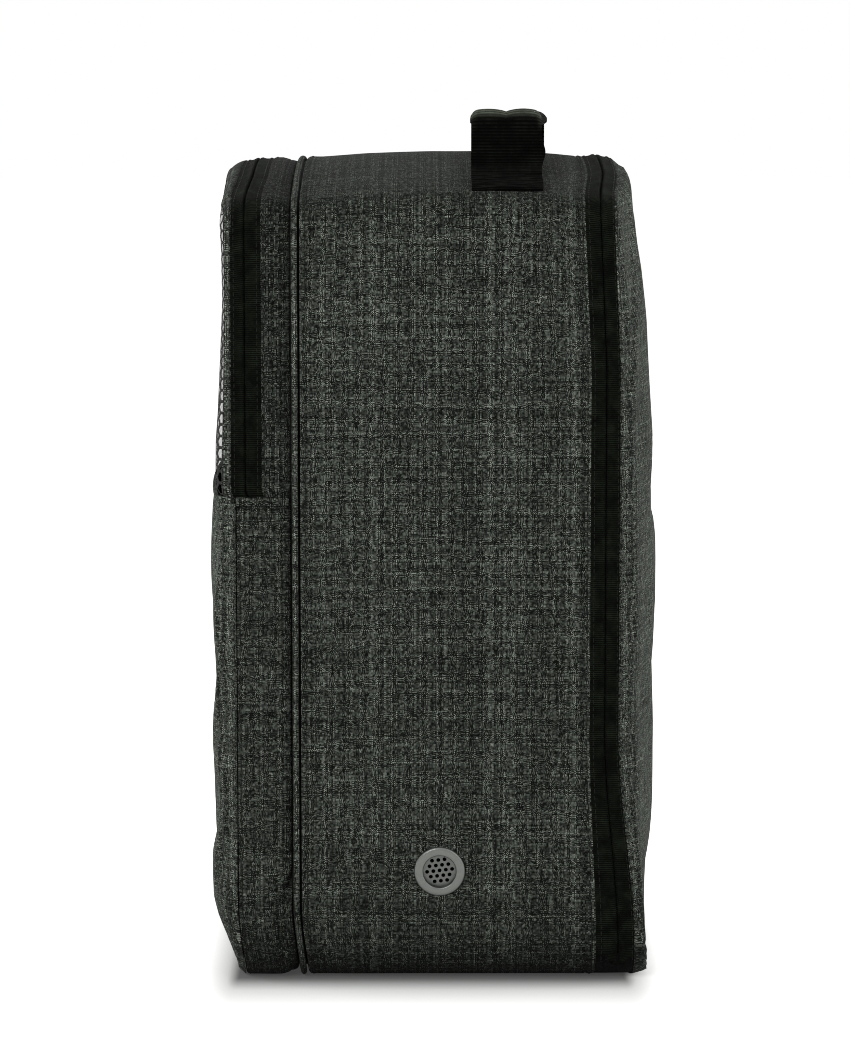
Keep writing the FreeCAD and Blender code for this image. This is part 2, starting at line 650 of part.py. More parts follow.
# Zip sliders: local X across the zip, local Y up the zip, local Z out of the bag, with the tape's
# outer face at local Z = 0
PLATE_LOW = "slider_gap"
PLATE_HIGH = f"({PLATE_LOW} + slider_plate)"
UNDER_HIGH = "(-tape_thickness - coil_height - slider_gap)"
PULL_AXIS = f"({PLATE_HIGH} + slider_gap + pull_thickness / 2)"
ZIP_SKIN = f"({HALF_WIDTH} - tape_recess)"


def make_slider(label, split, height):
    """Two plates joined by a neck at the nose, with the bail on top."""
    body = new_body(label, x=split, y=ZIP_SKIN, z=height)
    shield = (("-slider_nose / 2", "-slider_length * 0.3"), ("-slider_nose / 4", "-slider_length / 2"),
              ("slider_nose / 4", "-slider_length / 2"), ("slider_nose / 2", "-slider_length * 0.3"),
              ("slider_tail / 2", "slider_length * 0.4"), ("slider_tail / 4", "slider_length / 2"),
              ("-slider_tail / 4", "slider_length / 2"), ("-slider_tail / 2", "slider_length * 0.4"))
    neck = new_sketch(body, "neck", plane="XY_Plane", away=f"{UNDER_HIGH} - slider_plate / 2")
    tail = "(slider_neck_length - slider_length / 2)"
    add_polygon(neck, "wedge", (("-slider_neck / 2", "-slider_length / 2 + slider_neck"),
                                ("0", "-slider_length / 2"),
                                ("slider_neck / 2", "-slider_length / 2 + slider_neck"), ("0", tail)))
    add_pad(body, "neck_pad", neck, f"{PLATE_HIGH} - {UNDER_HIGH}")
    for name, away in (("top", PLATE_LOW), ("under", f"{UNDER_HIGH} - slider_plate")):
        plate = new_sketch(body, name, plane="XY_Plane", away=away)
        add_polygon(plate, name, shield)
        add_pad(body, f"{name}_pad", plate, "slider_plate")
    root = f"({PLATE_HIGH} - slider_plate / 2)"
    bail = new_sketch(body, "bail", plane="YZ_Plane")
    add_outline(bail, "arch", "bail_inner + bail_bar", root, f"{PULL_AXIS} + bail_inner + bail_bar",
                "bail_inner", "layer_gap")
    add_pad(body, "bail_pad", bail, "bail_width", both_ways=True)
    eye = new_sketch(body, "eye", plane="YZ_Plane")
    add_outline(eye, "eye", "bail_inner", PLATE_HIGH, f"{PULL_AXIS} + bail_inner",
                "bail_inner - bail_bar / 2", "layer_gap")
    cut_through(body, "eye_cut", eye)
    return body


def make_pull(label, split, height):
    """A tapered tab with an eye for the bail, hanging straight down from its bar."""
    body = new_body(label, x=split, y=f"{ZIP_SKIN} + {PULL_AXIS}", z=height)
    plan = new_sketch(body, "plan", plane="XY_Plane", away="-pull_thickness / 2")
    eye_end = "(bail_inner + bail_bar + pull_gap)"
    add_polygon(plan, "tab", (("-pull_width / 2", "pull_bar / 2"), ("-pull_width / 2", f"-{eye_end} * 2"),
                              ("-pull_tip / 2", "-pull_length + pull_tip / 4"),
                              ("-pull_tip / 4", "-pull_length"), ("pull_tip / 4", "-pull_length"),
                              ("pull_tip / 2", "-pull_length + pull_tip / 4"),
                              ("pull_width / 2", f"-{eye_end} * 2"), ("pull_width / 2", "pull_bar / 2")))
    half_eye = "(bail_width / 2 + pull_gap)"
    add_box(plan, "eye", f"-{half_eye}", half_eye, f"-{eye_end}", "-pull_bar / 2")
    add_pad(body, "pad", plan, "pull_thickness")
    return body


sliders = []
for name, split, zip_end in (("main", MAIN_SPLIT, "base_radius + slider_length"),
                             ("pocket", POCKET_SPLIT, "hem_height + fold_gap + slider_length / 2 + pull_gap")):
    slider = make_slider(f"{name}_slider", split, zip_end)
    pull = make_pull(f"{name}_pull", split, zip_end)
    for part in (slider, pull):
        turn_to_side(part, 1)
    sliders.extend((slider, pull))

doc.recompute()
pieces = case + flap + lid + sliders
for item in doc.Objects:
    if "Invalid" in item.State or "Error" in item.State:
        raise RuntimeError(f"{item.Label} failed: {item.State}")
for piece in pieces:
    if piece.Shape.isNull() or not piece.Shape.isValid():
        raise RuntimeError(f"{piece.Label} has no valid shape")

os.makedirs("parts", exist_ok=True)
for piece in pieces:
    piece.Shape.exportStep(os.path.join("parts", f"{piece.Label}.step"))
    print(f"{piece.Label:24s} solids {len(piece.Shape.Solids)}  volume {piece.Shape.Volume:10.1f}")
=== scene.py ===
import math

import bmesh
import bpy
import numpy as np
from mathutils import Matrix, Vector
from mathutils.geometry import delaunay_2d_cdt


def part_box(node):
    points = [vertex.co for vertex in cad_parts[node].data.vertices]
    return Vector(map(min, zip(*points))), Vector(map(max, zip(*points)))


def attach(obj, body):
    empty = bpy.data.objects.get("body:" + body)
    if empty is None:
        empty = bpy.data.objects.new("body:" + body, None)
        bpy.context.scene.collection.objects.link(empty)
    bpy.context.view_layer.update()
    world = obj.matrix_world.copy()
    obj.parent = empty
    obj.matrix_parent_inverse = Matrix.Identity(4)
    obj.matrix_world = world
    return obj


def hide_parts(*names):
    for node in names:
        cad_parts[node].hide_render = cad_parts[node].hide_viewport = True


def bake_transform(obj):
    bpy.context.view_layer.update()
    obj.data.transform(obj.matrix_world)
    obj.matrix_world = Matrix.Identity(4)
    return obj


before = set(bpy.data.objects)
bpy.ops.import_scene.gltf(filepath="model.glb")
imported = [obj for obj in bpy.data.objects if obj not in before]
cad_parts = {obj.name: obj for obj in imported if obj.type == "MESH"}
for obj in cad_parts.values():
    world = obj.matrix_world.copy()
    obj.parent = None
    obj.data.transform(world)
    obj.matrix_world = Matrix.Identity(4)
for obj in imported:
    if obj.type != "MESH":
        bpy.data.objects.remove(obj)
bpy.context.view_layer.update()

bl_info = {
    "name": "Shoe bag",
    "version": (1, 0, 0),
    "blender": (4, 5, 0),
    "location": "View3D > Sidebar > Shoe bag",
    "description": "Builds a soft zipped shoe bag with its pocket, mesh flap, handle and vents",
    "category": "Add Mesh",
}


# ---------------------------------------------------------------- settings

def length(name, description, default):
    """A length in millimetres, as a user would read it off a pattern sheet."""
    return bpy.props.FloatProperty(name=name, description=description, default=default, precision=2)


def colour(name, description, default):
    """A colour as linear red, green and blue."""
    return bpy.props.FloatVectorProperty(name=name, description=description, default=default,
                                         size=3, subtype="COLOR", min=0, max=1)


class BagSizes(bpy.types.PropertyGroup):
    half_width: length("Half width", "Half of the bag's width, in millimetres", 115.0)
    crest: length("Crest", "Height of the middle of the top, in millimetres", 356.5)
    arch: length("Arch", "Rise of the top from its corners to its middle, in millimetres", 13.0)
    top_corner: length("Top corner", "Radius of the top corners, in millimetres", 13.0)
    base_corner: length("Base corner", "Radius of the bottom corners, in millimetres", 21.0)
    front_seam: length("Front seam", "Where the pocket's side meets the front panel, in millimetres", -84.0)
    pocket_tape: length("Pocket tape", "Width of one tape of the pocket's zip, in millimetres", 5.5)
    piping: length("Piping", "Middle of the piped seam, in millimetres", -58.4)
    case_front: length("Case front", "Front edge of the case's side, in millimetres", -56.2)
    case_back: length("Case back", "Back edge of the case's side, in millimetres", 68.0)
    main_tape: length("Main tape", "Width of one tape of the main zip, in millimetres", 5.85)
    lid_seam: length("Lid seam", "Where the main zip meets the lid, in millimetres", 81.3)
    split: length("Split", "Gap between the two tapes of a zip, in millimetres", 1.4)
    lid_crown: length("Lid crown", "How far the lid's face stands out, in millimetres", 19.5)
    front_crown: length("Front crown", "How far the pocket's face stands out, in millimetres", 14.5)
    hem: length("Hem", "Height of the pocket's hem, in millimetres", 212.5)
    strap_width: length("Strap width", "Width of the handle's webbing, in millimetres", 30.4)
    strap_middle: length("Strap middle", "Middle of the handle's webbing, in millimetres", 32.3)
    stitch: length("Stitch", "Pitch of the topstitching, in millimetres", 3.0)


class BagColours(bpy.types.PropertyGroup):
    heather_dark: colour("Dark threads", "Darkest threads of the heather cloth", (0.0030, 0.0038, 0.0027))
    heather_light: colour("Light threads", "Lightest threads of the heather cloth", (0.575, 0.640, 0.548))
    tape: colour("Zip tape", "Woven tape of the zips", (0.0036, 0.0046, 0.0030))
    webbing: colour("Webbing", "Ribbed webbing of the handle", (0.0008, 0.0009, 0.0007))
    mesh: colour("Mesh", "Knitted mesh of the flap", (0.030, 0.031, 0.029))
    lining: colour("Lining", "Smooth inner cloth", (0.022, 0.023, 0.022))
    metal: colour("Metal", "Satin metal of the vents", (0.135, 0.14, 0.132))
    thread: colour("Thread", "Topstitching", (0.012, 0.013, 0.011))


def sizes():
    """The bag's sizes, in millimetres."""
    return bpy.context.scene.bag_sizes


def colours():
    """The bag's colours."""
    return bpy.context.scene.bag_colours


# Heights up a face, in millimetres, and the share of its crown that it stands out at each
FRONT_PROFILE = ((0, 13, 36, 59, 105, 173, 205, 219, 242, 254, 288, 311, 334, 356),
                 (0.74, 0.80, 0.85, 0.88, 0.94, 0.95, 0.90, 0.91, 0.88, 0.79, 0.63, 0.53, 0.57, 0.68))
LID_PROFILE = ((0, 13, 36, 59, 105, 150, 173, 205, 219, 242, 254, 288, 311, 322, 334, 341, 356),
               (0.80, 0.80, 0.92, 1.00, 1.00, 1.01, 1.03, 1.01, 0.96, 0.88, 0.84, 0.74, 0.62, 0.53, 0.46, 0.39,
                0.34))
# Places across the bag, in millimetres, and how far its top sags there below the crest
TOP_SAG = ((-100, -84, -78, -66, -58, -50, -30, 0, 25, 50, 66, 74, 80, 84, 100),
           (6.5, 4.2, 3.2, 2.8, 2.4, 2.6, 1.2, 0.2, 0.0, 1.2, 2.4, 1.6, 2.4, 4.6, 8.0))
STEP = 2.4            # millimetres between rows along the outline
LINING_STEP = 4.0     # the same, for plain pieces that hardly show
SIDE_WALL = 80        # millimetres from the middle, past which a point is on a side wall
SEAM_GROOVE = 3.4     # from a strip's right edge to the groove that its seam draws
ZIP_LOW = 8.0         # height at which the main zip ends, in millimetres
SPACING = 2.6         # millimetres between points of a face's grid
METRES = 0.001        # of a millimetre
PER_METRE = 1000      # millimetres


# ---------------------------------------------------------------- surfaces

def smooth(value):
    """Smooth step: 3v^2 - 2v^3, with v held between 0 and 1."""
    value = np.clip(value, 0, 1)
    return value * value * (3 - 2 * value)


def ripple(a, b, seed, waves=7, low=0.02, high=0.12):
    """Gentle unevenness: a mean of seeded sine waves that run in many directions over (a, b)."""
    rng = np.random.default_rng(seed)
    total = np.zeros(np.broadcast(a, b).shape)
    for _ in range(waves):
        turn, pitch, phase = rng.uniform(0, math.pi), rng.uniform(low, high), rng.uniform(0, 2 * math.pi)
        total = total + np.sin(2 * math.pi * pitch * (a * math.cos(turn) + b * math.sin(turn)) + phase)
    return total / waves


def corner_facts():
    """Angle, centre height and inner reach of the top corner, where the arch runs into it.

    The arch is a parabola that meets the corner's circle with the same slope."""
    s = sizes()
    tilt = 0.0
    for _ in range(20):
        reach = s.half_width - s.top_corner + s.top_corner * math.sin(tilt)
        tilt = math.atan(2 * s.arch / reach)
    centre = s.crest - s.arch - s.top_corner * math.cos(tilt)
    return tilt, centre, reach


def half_width_at(z):
    """Half of the bag's width at a height: the wall, drawn in by the circles of its corners."""
    s = sizes()
    centre = corner_facts()[1]
    low = np.clip(s.base_corner - z, 0, s.base_corner)
    high = np.clip(z - centre, 0, s.top_corner)
    return (s.half_width - s.base_corner + np.sqrt(s.base_corner ** 2 - low ** 2)
            - s.top_corner + np.sqrt(np.maximum(s.top_corner ** 2 - high ** 2, 0)))


def floor_at(y):
    """Height of the bottom outline across the bag: flat, then a quarter circle at each side."""
    s = sizes()
    over = np.clip(np.abs(y) - (s.half_width - s.base_corner), 0, s.base_corner)
    return s.base_corner - np.sqrt(s.base_corner ** 2 - over ** 2)


def ceiling_at(y):
    """Height of the top outline across the bag: a parabola, then part of a circle at each side."""
    s = sizes()
    _, centre, reach = corner_facts()
    across = np.abs(y)
    arch = s.crest - s.arch * (across / reach) ** 2
    over = np.clip(across - (s.half_width - s.top_corner), 0, s.top_corner)
    return np.where(across <= reach, arch, centre + np.sqrt(s.top_corner ** 2 - over ** 2))


def outline(step=STEP, low=None):
    """Places, inward normals and distance along the bag's outline in its (y, z) plane.

    It starts at the middle of the bottom and runs up the near side, over the top and down the far side;
    with a low height it keeps only the run above that height."""
    s = sizes()
    tilt, centre, reach = corner_facts()
    turn = np.linspace(-math.pi / 2, 0, 60)
    bend = np.linspace(0, math.pi / 2 - tilt, 40)
    arch = np.linspace(reach, 0, 120)[1:]
    inner = s.half_width - s.base_corner
    y = np.concatenate([np.linspace(0, inner, 60)[:-1], inner + s.base_corner * np.cos(turn),
                        np.full(200, s.half_width)[1:-1],
                        s.half_width - s.top_corner + s.top_corner * np.cos(bend), arch])
    z = np.concatenate([np.zeros(59), s.base_corner + s.base_corner * np.sin(turn),
                        np.linspace(s.base_corner, centre, 200)[1:-1],
                        centre + s.top_corner * np.sin(bend), s.crest - s.arch * (arch / reach) ** 2])
    y, z = np.concatenate([-y, y[::-1][1:]]), np.concatenate([z, z[::-1][1:]])
    along = np.concatenate([[0], np.cumsum(np.hypot(np.diff(y), np.diff(z)))])
    total = along[-1]
    if low is None:
        count = int(total / step)
        places = np.linspace(0, total, count, endpoint=False)
    else:
        near = slice(400)  # points of the near side, along which the height only grows
        first = np.interp(low, z[near], along[near])
        count = int((total - 2 * first) / step)
        places = np.linspace(first, total - first, count)
    gap = 0.6
    wrap = (places[:, None] + np.array([-gap, gap])) % total
    behind, ahead = [(np.interp(wrap[:, k], along, y), np.interp(wrap[:, k], along, z)) for k in (0, 1)]
    dy, dz = ahead[0] - behind[0], ahead[1] - behind[1]
    size = np.hypot(dy, dz)
    return (np.interp(places, along, y), np.interp(places, along, z), dz / size, -dy / size, places, total)


def settle(points):
    """The slack of the made-up bag: its top sags beside the handle; and on its near side its seams lean
    towards the lid at the base, its main zip runs nearer the handle at the top corner, and the pocket's zip
    pulls forward."""
    x, y, z = points[..., 0], points[..., 1], points[..., 2]
    near = smooth((-y - 60) / 50)
    top_zip = np.interp(z, [268, 300, 335, 355], [0, -1.4, -3.0, -2.6]) * smooth((x - 52) / 14)
    top_zip = top_zip * (1 - smooth((x - 84) / 12))
    foot = smooth((34 - z) / 34)
    lean = (foot * 3.0 * smooth((-30 - x) / 30)
            + 7.6 * smooth((112 - z) / 98) * smooth((x - 58) / 22) * (1 - smooth((x - 84) / 10)))
    pull = -1.7 * smooth((z - sizes().hem + 1.5) / 5) * smooth((-62 - x) / 12)
    out = points.copy()
    out[..., 0] = x + near * (top_zip + lean + pull)
    out[..., 2] = z - np.interp(x, TOP_SAG[0], TOP_SAG[1]) * smooth((z - 225) / 120)
    return out


def carry(xs, depths, low=None, step=STEP):
    """A profile carried along the outline: place = outline(s) + inward normal * depth(s, x), at x, settled.

    xs and depths are one row, or one row for each place along the outline."""
    y, z, ny, nz, along, total = outline(step, low)
    xs = np.broadcast_to(np.asarray(xs, float), (len(y), np.shape(xs)[-1])).copy()
    if callable(depths):
        depths = depths(along[:, None], xs, z[:, None], y[:, None])
    depths = np.broadcast_to(np.asarray(depths, float), xs.shape)
    points = np.stack([xs, y[:, None] + ny[:, None] * depths, z[:, None] + nz[:, None] * depths], -1)
    return settle(points), along, total


def normals_of(points, wrap):
    """Unit normals of a grid: the cross product of its two central differences."""
    if wrap:
        du = np.roll(points, -1, 0) - np.roll(points, 1, 0)
    else:
        du = np.gradient(points, axis=0)
    dv = np.gradient(points, axis=1)
    n = np.cross(du, dv)
    return n / np.maximum(np.linalg.norm(n, axis=-1, keepdims=True), 1e-9)


def add_object(name, vertices, faces, uv=None, material=None, body="bag", parts=(), slot=None,
               outward=True):
    """A mesh object from arrays in millimetres, smooth shaded, riding on a body."""
    mesh = bpy.data.meshes.new(name)
    mesh.from_pydata(vertices * METRES, [], faces)
    if uv is not None:
        layer = mesh.uv_layers.new(name="cloth")
        layer.data.foreach_set("uv", np.asarray(uv, np.float32).ravel())
    if outward:
        work = bmesh.new()
        work.from_mesh(mesh)
        bmesh.ops.recalc_face_normals(work, faces=work.faces)
        work.to_mesh(mesh)
        work.free()
    mesh.polygons.foreach_set("use_smooth", np.ones(len(mesh.polygons), bool))
    mesh.update()
    piece = bpy.data.objects.new(name, mesh)
    bpy.context.scene.collection.objects.link(piece)
    if material:
        mesh.materials.append(material)
    if body:
        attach(piece, body)
    if parts:
        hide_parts(*parts)
    return piece


def grid_faces(rows, columns, wrap, start=0, turned=False):
    """Corners of a grid's squares, and for each corner its row and column on the cloth."""
    i, j = np.meshgrid(np.arange(rows if wrap else rows - 1), np.arange(columns - 1), indexing="ij")
    i, j = i.ravel(), j.ravel()
    corners = [(i, j), (i + 1, j), (i + 1, j + 1), (i, j + 1)]
    if turned:
        corners = corners[::-1]
    faces = np.stack([start + (a % rows) * columns + b for a, b in corners], 1)
    return faces, np.stack([np.stack([a, b], 1) for a, b in corners], 1)


def shell(name, outer, inner, along, across, wrap=False, hole=None, **facts):
    """Two grids joined round their rims into one closed skin, with cloth coordinates in metres.

    A hole (x, z, radius) goes through both skins of each side wall, with its two rims joined."""
    rows, columns = outer.shape[:2]
    total = facts.pop("total", None)
    along, across = np.asarray(along, float), np.asarray(across, float)
    along = np.broadcast_to(along[:, None] if along.ndim == 1 else along, (rows, columns))
    across = np.broadcast_to(across, (rows, columns))
    if wrap:
        along, across = np.concatenate([along, along[:1] + total]), np.concatenate([across, across[:1]])
    gap = np.linalg.norm(outer - inner, axis=-1)
    gap = np.concatenate([gap, gap[:1]]) if wrap else gap
    vertices = np.concatenate([outer.reshape(-1, 3), inner.reshape(-1, 3)])
    top, top_at = grid_faces(rows, columns, wrap)
    low, low_at = grid_faces(rows, columns, wrap, rows * columns, True)
    faces = [top, low]
    uv = [np.stack([grid[at[..., 0], at[..., 1]] for grid in (along, across)], -1) for at in (top_at, low_at)]

    def wall(first, second, turned, pushed):
        """One rim: a square for each pair of neighbours, its inner corners set over by the thickness."""
        corners = [(first, False), (first, True), (second, True), (second, False)]
        ids = [(i % rows) * columns + j + (rows * columns if deep else 0) for (i, j), deep in corners]
        coordinates = [np.stack([along[i, j], across[i, j]], -1) + deep * gap[i, j][:, None] * pushed
                       for (i, j), deep in corners]
        order = slice(None, None, -1) if turned else slice(None)
        faces.append(np.stack(ids[order], 1))
        uv.append(np.stack(coordinates[order], 1))

    i = np.arange(rows if wrap else rows - 1)
    for column, turned, side in ((0, False, -1), (columns - 1, True, 1)):
        same = np.full_like(i, column)
        wall((i, same), (i + 1, same), turned, np.array([0.0, side]))
    if not wrap:
        j = np.arange(columns - 1)
        for row, turned, side in ((0, True, -1), (rows - 1, False, 1)):
            same = np.full_like(j, row)
            wall((same, j), (same, j + 1), turned, np.array([side, 0.0]))
    faces, uv = np.concatenate(faces), np.concatenate(uv) * METRES
    if hole is None:
        return add_object(name, vertices, faces.tolist(), uv, **facts)
    centres = vertices[faces].mean(1)
    away = np.hypot(centres[:, 0] - hole[0], centres[:, 2] - hole[1])
    kept = (away > hole[2]) | (np.abs(centres[:, 1]) < SIDE_WALL)
    piece = add_object(name, vertices, faces[kept].tolist(), uv[kept], outward=False, **facts)
    work = bmesh.new()
    work.from_mesh(piece.data)
    for side in (-1, 1):
        rim = [e for e in work.edges if e.is_boundary and e.verts[0].co.y * side > 0]
        bmesh.ops.bridge_loops(work, edges=rim)
    bmesh.ops.recalc_face_normals(work, faces=work.faces)
    work.to_mesh(piece.data)
    work.free()
    piece.data.polygons.foreach_set("use_smooth", np.ones(len(piece.data.polygons), bool))
    return piece


def drawn_to(points, hole, reach):
    """Corners of the side walls within reach of a hole's circle, moved in or out onto it."""
    dx, dz = points[..., 0] - hole[0], points[..., 2] - hole[1]
    away = np.hypot(dx, dz)
    close = (np.abs(away - hole[2]) < reach) & (np.abs(points[..., 1]) > SIDE_WALL)
    scale = np.where(close, hole[2] / np.maximum(away, 1e-9), 1.0)
    out = points.copy()
    out[..., 0], out[..., 2] = hole[0] + dx * scale, hole[1] + dz * scale
    return out


def facing_out(skin, wrap):
    """Unit normals of a strip round the bag, turned away from the bag's middle."""
    n = normals_of(skin, wrap)
    return -n if np.sum(n[..., 1] * skin[..., 1]) < 0 else n


def band(name, xs, outer, thickness, low=None, step=STEP, hole=None, **facts):
    """A strip of cloth round the bag: an outer skin by its depths, and an inner one a thickness under it."""
    skin, along, total = carry(xs, outer, low, step)
    wrap = low is None
    under = skin - facing_out(skin, wrap) * thickness
    if hole is not None:
        skin, under = (drawn_to(side, hole, step * 0.53) for side in (skin, under))
    return shell(name, skin, under, along, np.asarray(xs, float), wrap=wrap, total=total, hole=hole,
                 **facts)


def pillow(reach):
    """Rounded rise of a padded edge: sqrt(1 - (1 - q)^2), with q the reach held between 0 and 1."""
    q = np.clip(reach, 0, 1)
    return np.sqrt(np.maximum(1 - (1 - q) ** 2, 0))


def panel_grid(high=None, spacing=SPACING, inset=0.0):
    """Places (y, z) on the bag's face as a grid whose edges follow its outline, close set near them.

    Rows run up and columns across: z = floor(y) + v * (high(y) - floor(y)), y = half width * u."""
    s = sizes()
    columns = int(2 * s.half_width / spacing) + 1
    u = np.linspace(-1, 1, columns)
    u = 0.45 * u + 0.55 * np.sin(u * math.pi / 2)
    y = u * (s.half_width - inset)
    level = y * s.half_width / (s.half_width - inset)
    bottom = floor_at(level) + inset
    top = ceiling_at(level) - inset if high is None else np.full(columns, high)
    rows = int((top.max() - bottom.min()) / spacing) + 1
    v = np.linspace(0, 1, rows)
    if high is None:
        v = 0.5 * v + 0.5 * (1 - np.cos(v * math.pi)) / 2
    else:
        v = 0.6 * v + 0.4 * (1 - np.cos(v * math.pi / 2))
    z = bottom + v[:, None] * (top - bottom)
    return np.broadcast_to(y, z.shape).copy(), z


def puff(points, pressure, cap, pins):
    """Cloth puffed from behind by air pressure with its sewn edge held, each point moved at most cap.

    pins is True where the cloth is sewn down."""
    frames = 20
    rows, columns = points.shape[:2]
    faces, _ = grid_faces(rows, columns, False)
    mesh = bpy.data.meshes.new("puffing")
    mesh.from_pydata(points.reshape(-1, 3) * METRES, [], faces.tolist())
    piece = bpy.data.objects.new("puffing", mesh)
    bpy.context.scene.collection.objects.link(piece)
    held = piece.vertex_groups.new(name="sewn")
    held.add(np.flatnonzero(pins.ravel()).tolist(), 1.0, "REPLACE")
    cloth = piece.modifiers.new("cloth", "CLOTH")
    cloth.settings.vertex_group_mass = "sewn"
    cloth.settings.quality = 5
    cloth.settings.mass = 0.3
    cloth.settings.tension_stiffness = 20
    cloth.settings.compression_stiffness = 20
    cloth.settings.bending_stiffness = 2.0
    cloth.settings.air_damping = 2
    cloth.settings.use_pressure = True
    cloth.settings.uniform_pressure_force = pressure
    cloth.settings.effector_weights.gravity = 0
    cloth.settings.shrink_min = -0.012
    cloth.collision_settings.use_collision = False
    cloth.collision_settings.use_self_collision = False
    cloth.point_cache.frame_start, cloth.point_cache.frame_end = 1, frames
    scene = bpy.context.scene
    for step in range(1, frames + 1):
        scene.frame_set(step)
    result = piece.evaluated_get(bpy.context.evaluated_depsgraph_get())
    found = np.zeros(rows * columns * 3)
    result.data.vertices.foreach_get("co", found)
    scene.frame_set(1)
    bpy.data.objects.remove(piece)
    bpy.data.meshes.remove(mesh)
    moved = found.reshape(rows, columns, 3) * PER_METRE - points
    size = np.linalg.norm(moved, axis=-1, keepdims=True)
    return points + moved * np.minimum(1, cap / np.maximum(size, 1e-9))


def swept(name, path, side, up, profile, along, closed=False, **facts):
    """A closed profile carried along a path: path(t) + side * a + up * b for each profile point (a, b)."""
    a, b = profile[:, 0], profile[:, 1]
    points = path[:, None] + side[:, None] * a[None, :, None] + up[:, None] * b[None, :, None]
    return loft_rings(name, points, along, closed, **facts)


def loft_rings(name, points, along, closed, **facts):
    """Rings joined one to the next, closed round each ring, and at the ends by caps."""
    rows, columns = points.shape[:2]
    i, j = np.meshgrid(np.arange(rows if closed else rows - 1), np.arange(columns), indexing="ij")
    i, j = i.ravel(), j.ravel()
    corners = [(i, j), (i + 1, j), (i + 1, j + 1), (i, j + 1)]
    faces = np.stack([(a % rows) * columns + b % columns for a, b in corners], 1).tolist()
    reach = np.append(along, 2 * along[-1] - along[-2])
    ring = np.linalg.norm(np.roll(points[0], -1, 0) - points[0], axis=-1)
    around = np.append(0, np.cumsum(ring))
    uv = np.stack([np.stack([reach[a], around[b]], -1) for a, b in corners], 1).reshape(-1, 2).tolist()
    if not closed:
        for row in (0, rows - 1):
            faces.append([row * columns + k for k in range(columns)])
            uv.extend([[reach[row], around[k]] for k in range(columns)])
    return add_object(name, points.reshape(-1, 3), faces, np.array(uv) * METRES, **facts)


def bead(sides=6):
    """A lying stitch: rings of a capsule along its first axis, half a unit each way."""
    turn = np.linspace(0, 2 * math.pi, sides, endpoint=False)
    stations = ((-0.5, 0.0), (-0.42, 0.8), (-0.2, 1.0), (0.2, 1.0), (0.42, 0.8), (0.5, 0.0))
    vertices, faces = [], []
    for place, size in stations:
        for angle in turn:
            vertices.append((place, size * math.cos(angle), size * math.sin(angle)))
    for k in range(len(stations) - 1):
        for n in range(sides):
            faces.append((k * sides + n, k * sides + (n + 1) % sides,
                          (k + 1) * sides + (n + 1) % sides, (k + 1) * sides + n))
    return np.array(vertices), np.array(faces)


def scatter(name, unit, places, first, second, third, **facts):
    """Copies of a small form: place + first * a + second * b + third * c for each of its points (a, b, c)."""
    vertices, faces = unit
    points = (places[:, None] + first[:, None] * vertices[None, :, :1]
              + second[:, None] * vertices[None, :, 1:2] + third[:, None] * vertices[None, :, 2:3])
    steps = np.arange(len(places))[:, None, None] * len(vertices)
    return add_object(name, points.reshape(-1, 3), (faces[None] + steps).reshape(-1, 4).tolist(), **facts)


def stitches(name, rows, width=0.42, share=0.74, body="bag"):
    """Topstitching: one bead for each pitch along each row of (points, normals), half sunk in the cloth."""
    pitch = sizes().stitch
    found = []
    for points, n in rows:
        run = np.append(0, np.cumsum(np.linalg.norm(np.diff(points, axis=0), axis=-1)))
        at = np.arange(pitch, run[-1] - pitch / 2, pitch)
        place = np.stack([np.interp(at, run, points[:, k]) for k in range(3)], -1)
        ahead = np.stack([np.interp(at + 0.5, run, points[:, k]) for k in range(3)], -1)
        out = np.stack([np.interp(at, run, n[:, k]) for k in range(3)], -1)
        first = ahead - place
        first /= np.maximum(np.linalg.norm(first, axis=-1, keepdims=True), 1e-9)
        out /= np.maximum(np.linalg.norm(out, axis=-1, keepdims=True), 1e-9)
        found.append((place + out * 0.05, first * pitch * share, np.cross(out, first) * width / 2,
                      out * width / 2))
    place, first, second, third = (np.concatenate(part) for part in zip(*found))
    return scatter(name, bead(), place, first, second, third, material=finish_of("thread"), body=body)


def row_of(x, depth=0.0, low=None):
    """A line of stitching round the bag at one x, with the outward normals along it."""
    y, z, ny, nz, *_ = outline(low=low)
    points = np.stack([np.full_like(y, x), y + ny * depth, z + nz * depth], -1)
    n = np.stack([np.zeros_like(y), -ny, -nz], -1)
    if low is None:
        points, n = np.append(points, points[:1], 0), np.append(n, n[:1], 0)
    return settle(points), n


# ---------------------------------------------------------------- finishes

